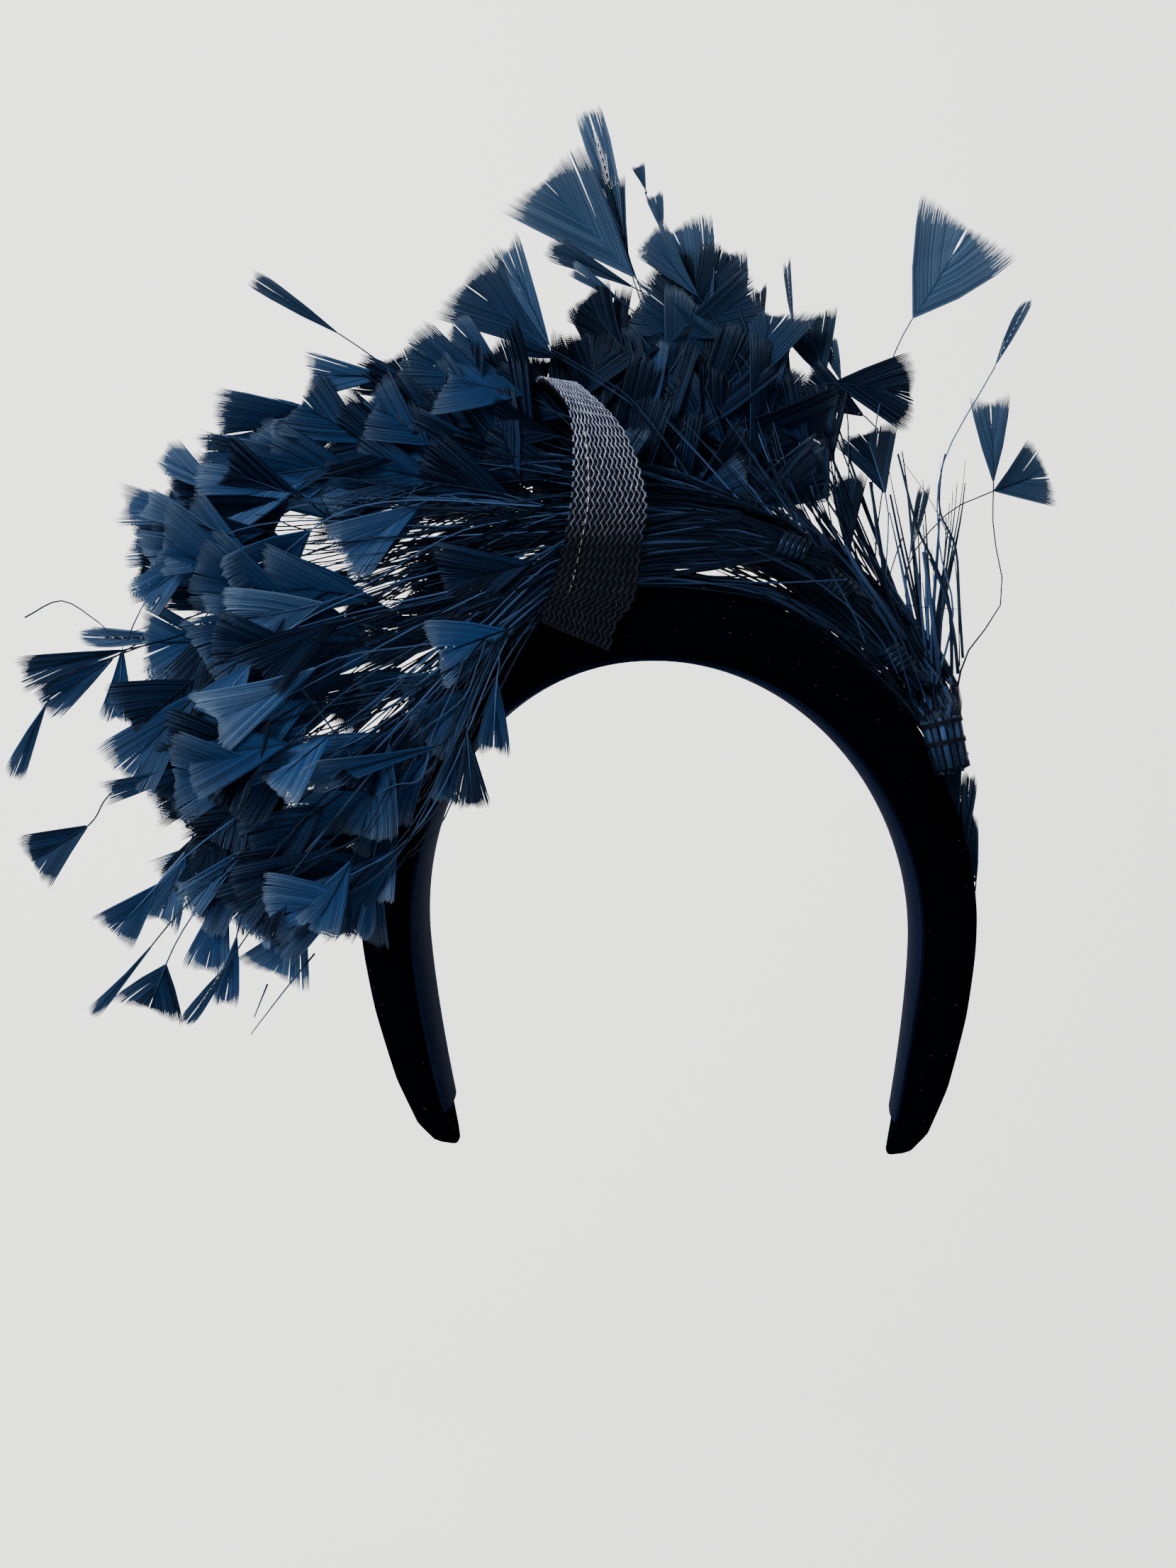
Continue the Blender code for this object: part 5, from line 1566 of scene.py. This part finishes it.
def build_feathers(vane, quill):
    for bunch in BUNCHES:
        barbs, quills = Lines(), Lines()
        fill_bunch(bunch, barbs, quills, random.Random(FEATHER_SEED + bunch.number))
        vanes = sweep_lines(f"vanes_{bunch.number}", barbs, vane, BARB_SIDES, BARB_FLATNESS, smooth=False)
        stems = sweep_lines(f"quills_{bunch.number}", quills, quill, QUILL_SIDES, QUILL_FLATNESS)
        for piece in (vanes, stems):
            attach(piece, "root")
            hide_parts(f"feather_bunch_{bunch.number}")


def build_bindings(thread, quill):
    for number, along in enumerate(THREAD_PLACES, start=1):
        middle, run, half = root_frame(BUNCHES[0], along)
        points = turns_round(middle - run * THREAD_DROP, run, half + THREAD_LIFT, THREAD_TURNS, THREAD_PITCH)
        lines = Lines()
        lines.add(points, THREAD_HALF_WIDTH, run, THREAD_TONE)
        piece = sweep_lines(f"thread_wrap_{number}", lines, thread, THREAD_SIDES, THREAD_FLATNESS)
        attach(piece, "root")
        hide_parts(f"thread_row_{number}")
    for bunch in BUNCHES[1:]:
        middle, run, half = root_frame(bunch, WINDING_PLACE)
        points = turns_round(middle, run, half + WINDING_LIFT, WINDING_TURNS, WINDING_PITCH)
        lines = Lines()
        lines.add(points, WINDING_HALF_WIDTH, run, WINDING_TONE)
        piece = sweep_lines(f"wound_coil_{bunch.number}", lines, quill, WINDING_SIDES, WINDING_FLATNESS)
        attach(piece, "root")
        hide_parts(f"wound_quill_{bunch.number}")


def build_end_trim(vane):
    """Cut vanes that fan out from the band's edge over the bound ends."""
    rng = random.Random(TRIM_SEED)
    barbs = Lines()
    for row in TRIM_VANES:
        lean = math.radians(row.lean)
        edges = []
        for share in (0.0, 1.0):
            along = between(row.foot, row.end, share)
            rise = BAND_SEAT + read_rows(BAND_PADDING, along) + row.rise * between(TRIM_FOOT_RISE, 1.0, share)
            lengthwise = between(TRIM_FOOT_LENGTHWISE, row.lengthwise, share)
            width = between(TRIM_FOOT_WIDTH, row.width, share)
            inner = band_point(along, lengthwise, rise)
            outer = band_point(along, lengthwise - width * math.cos(lean), rise + width * math.sin(lean))
            edges.append((inner, outer))
        base = edges[0][0].lerp(edges[0][1], 0.5)
        tip = edges[1][0].lerp(edges[1][1], 0.5)
        run = (tip - base).normalized()
        across = (edges[1][1] - edges[1][0]).normalized()
        across = (across - run * across.dot(run)).normalized()
        add_vane(barbs, base, run, (tip - base).length, across, row.width, TRIM_TONE, rng)
    piece = sweep_lines("trim_vanes", barbs, vane, BARB_SIDES, BARB_FLATNESS, smooth=False)
    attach(piece, "root")
    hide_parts("end_trim")


def build_stage():
    """A pale sheet that runs from the floor up behind the part."""
    shade = Shade("pale_floor")
    shade.set(Base_Color=BACKDROP_COLOUR, Roughness=0.9)
    mesh = bmesh.new()
    rows = []
    for y, z in BACKDROP_PROFILE:
        rows.append([mesh.verts.new((x, y, z)) for x in (-BACKDROP_HALF_WIDTH, BACKDROP_HALF_WIDTH)])
    for first, second in zip(rows, rows[1:]):
        mesh.faces.new((first[0], first[1], second[1], second[0]))
    data = bpy.data.meshes.new("backdrop")
    mesh.to_mesh(data)
    mesh.free()
    data.materials.append(shade.material)
    data.shade_smooth()
    add_object("backdrop", data)


def build_light_and_camera():
    world = bpy.data.worlds.new("studio")
    world.use_nodes = True
    sky = world.node_tree.nodes["Background"]
    sky.inputs["Color"].default_value = SKY_COLOUR
    sky.inputs["Strength"].default_value = SKY_STRENGTH
    bpy.context.scene.world = world
    for lamp in LAMPS:
        data = bpy.data.lights.new(lamp.name, "AREA")
        data.shape = "RECTANGLE"
        data.size, data.size_y = lamp.size
        data.energy = lamp.power
        data.color = lamp.tint
        light = add_object(lamp.name, data)
        light.location = lamp.spot
        light.rotation_euler = (Vector(lamp.aim) - Vector(lamp.spot)).to_track_quat("-Z", "Y").to_euler()
    data = bpy.data.cameras.new("camera")
    data.sensor_fit = "VERTICAL"
    data.sensor_height = SENSOR_HEIGHT
    data.lens = LENS
    data.clip_start = CLIP_START
    camera = add_object("camera", data)
    camera.location = EYE * MM
    camera.rotation_euler = (-TOWARDS_EYE).to_track_quat("-Z", "Y").to_euler()
    bpy.context.scene.camera = camera


SWEEP = sweep_tree()
vane = vane_material()
quill = quill_material()
headband = build_headband(velvet_material())
build_lint(headband, plain_material("pale_lint", (0.05, 0.065, 0.10), 0.8))
build_facing(facing_material())
build_feathers(vane, quill)
build_strap(plain_material("strap_dark", (0.0006, 0.0009, 0.0025), 0.8), strand_material(), gold_material())
build_bindings(plain_material("black_thread", (0.0015, 0.002, 0.006), 0.7), quill)
build_end_trim(vane)
build_stage()
build_light_and_camera()
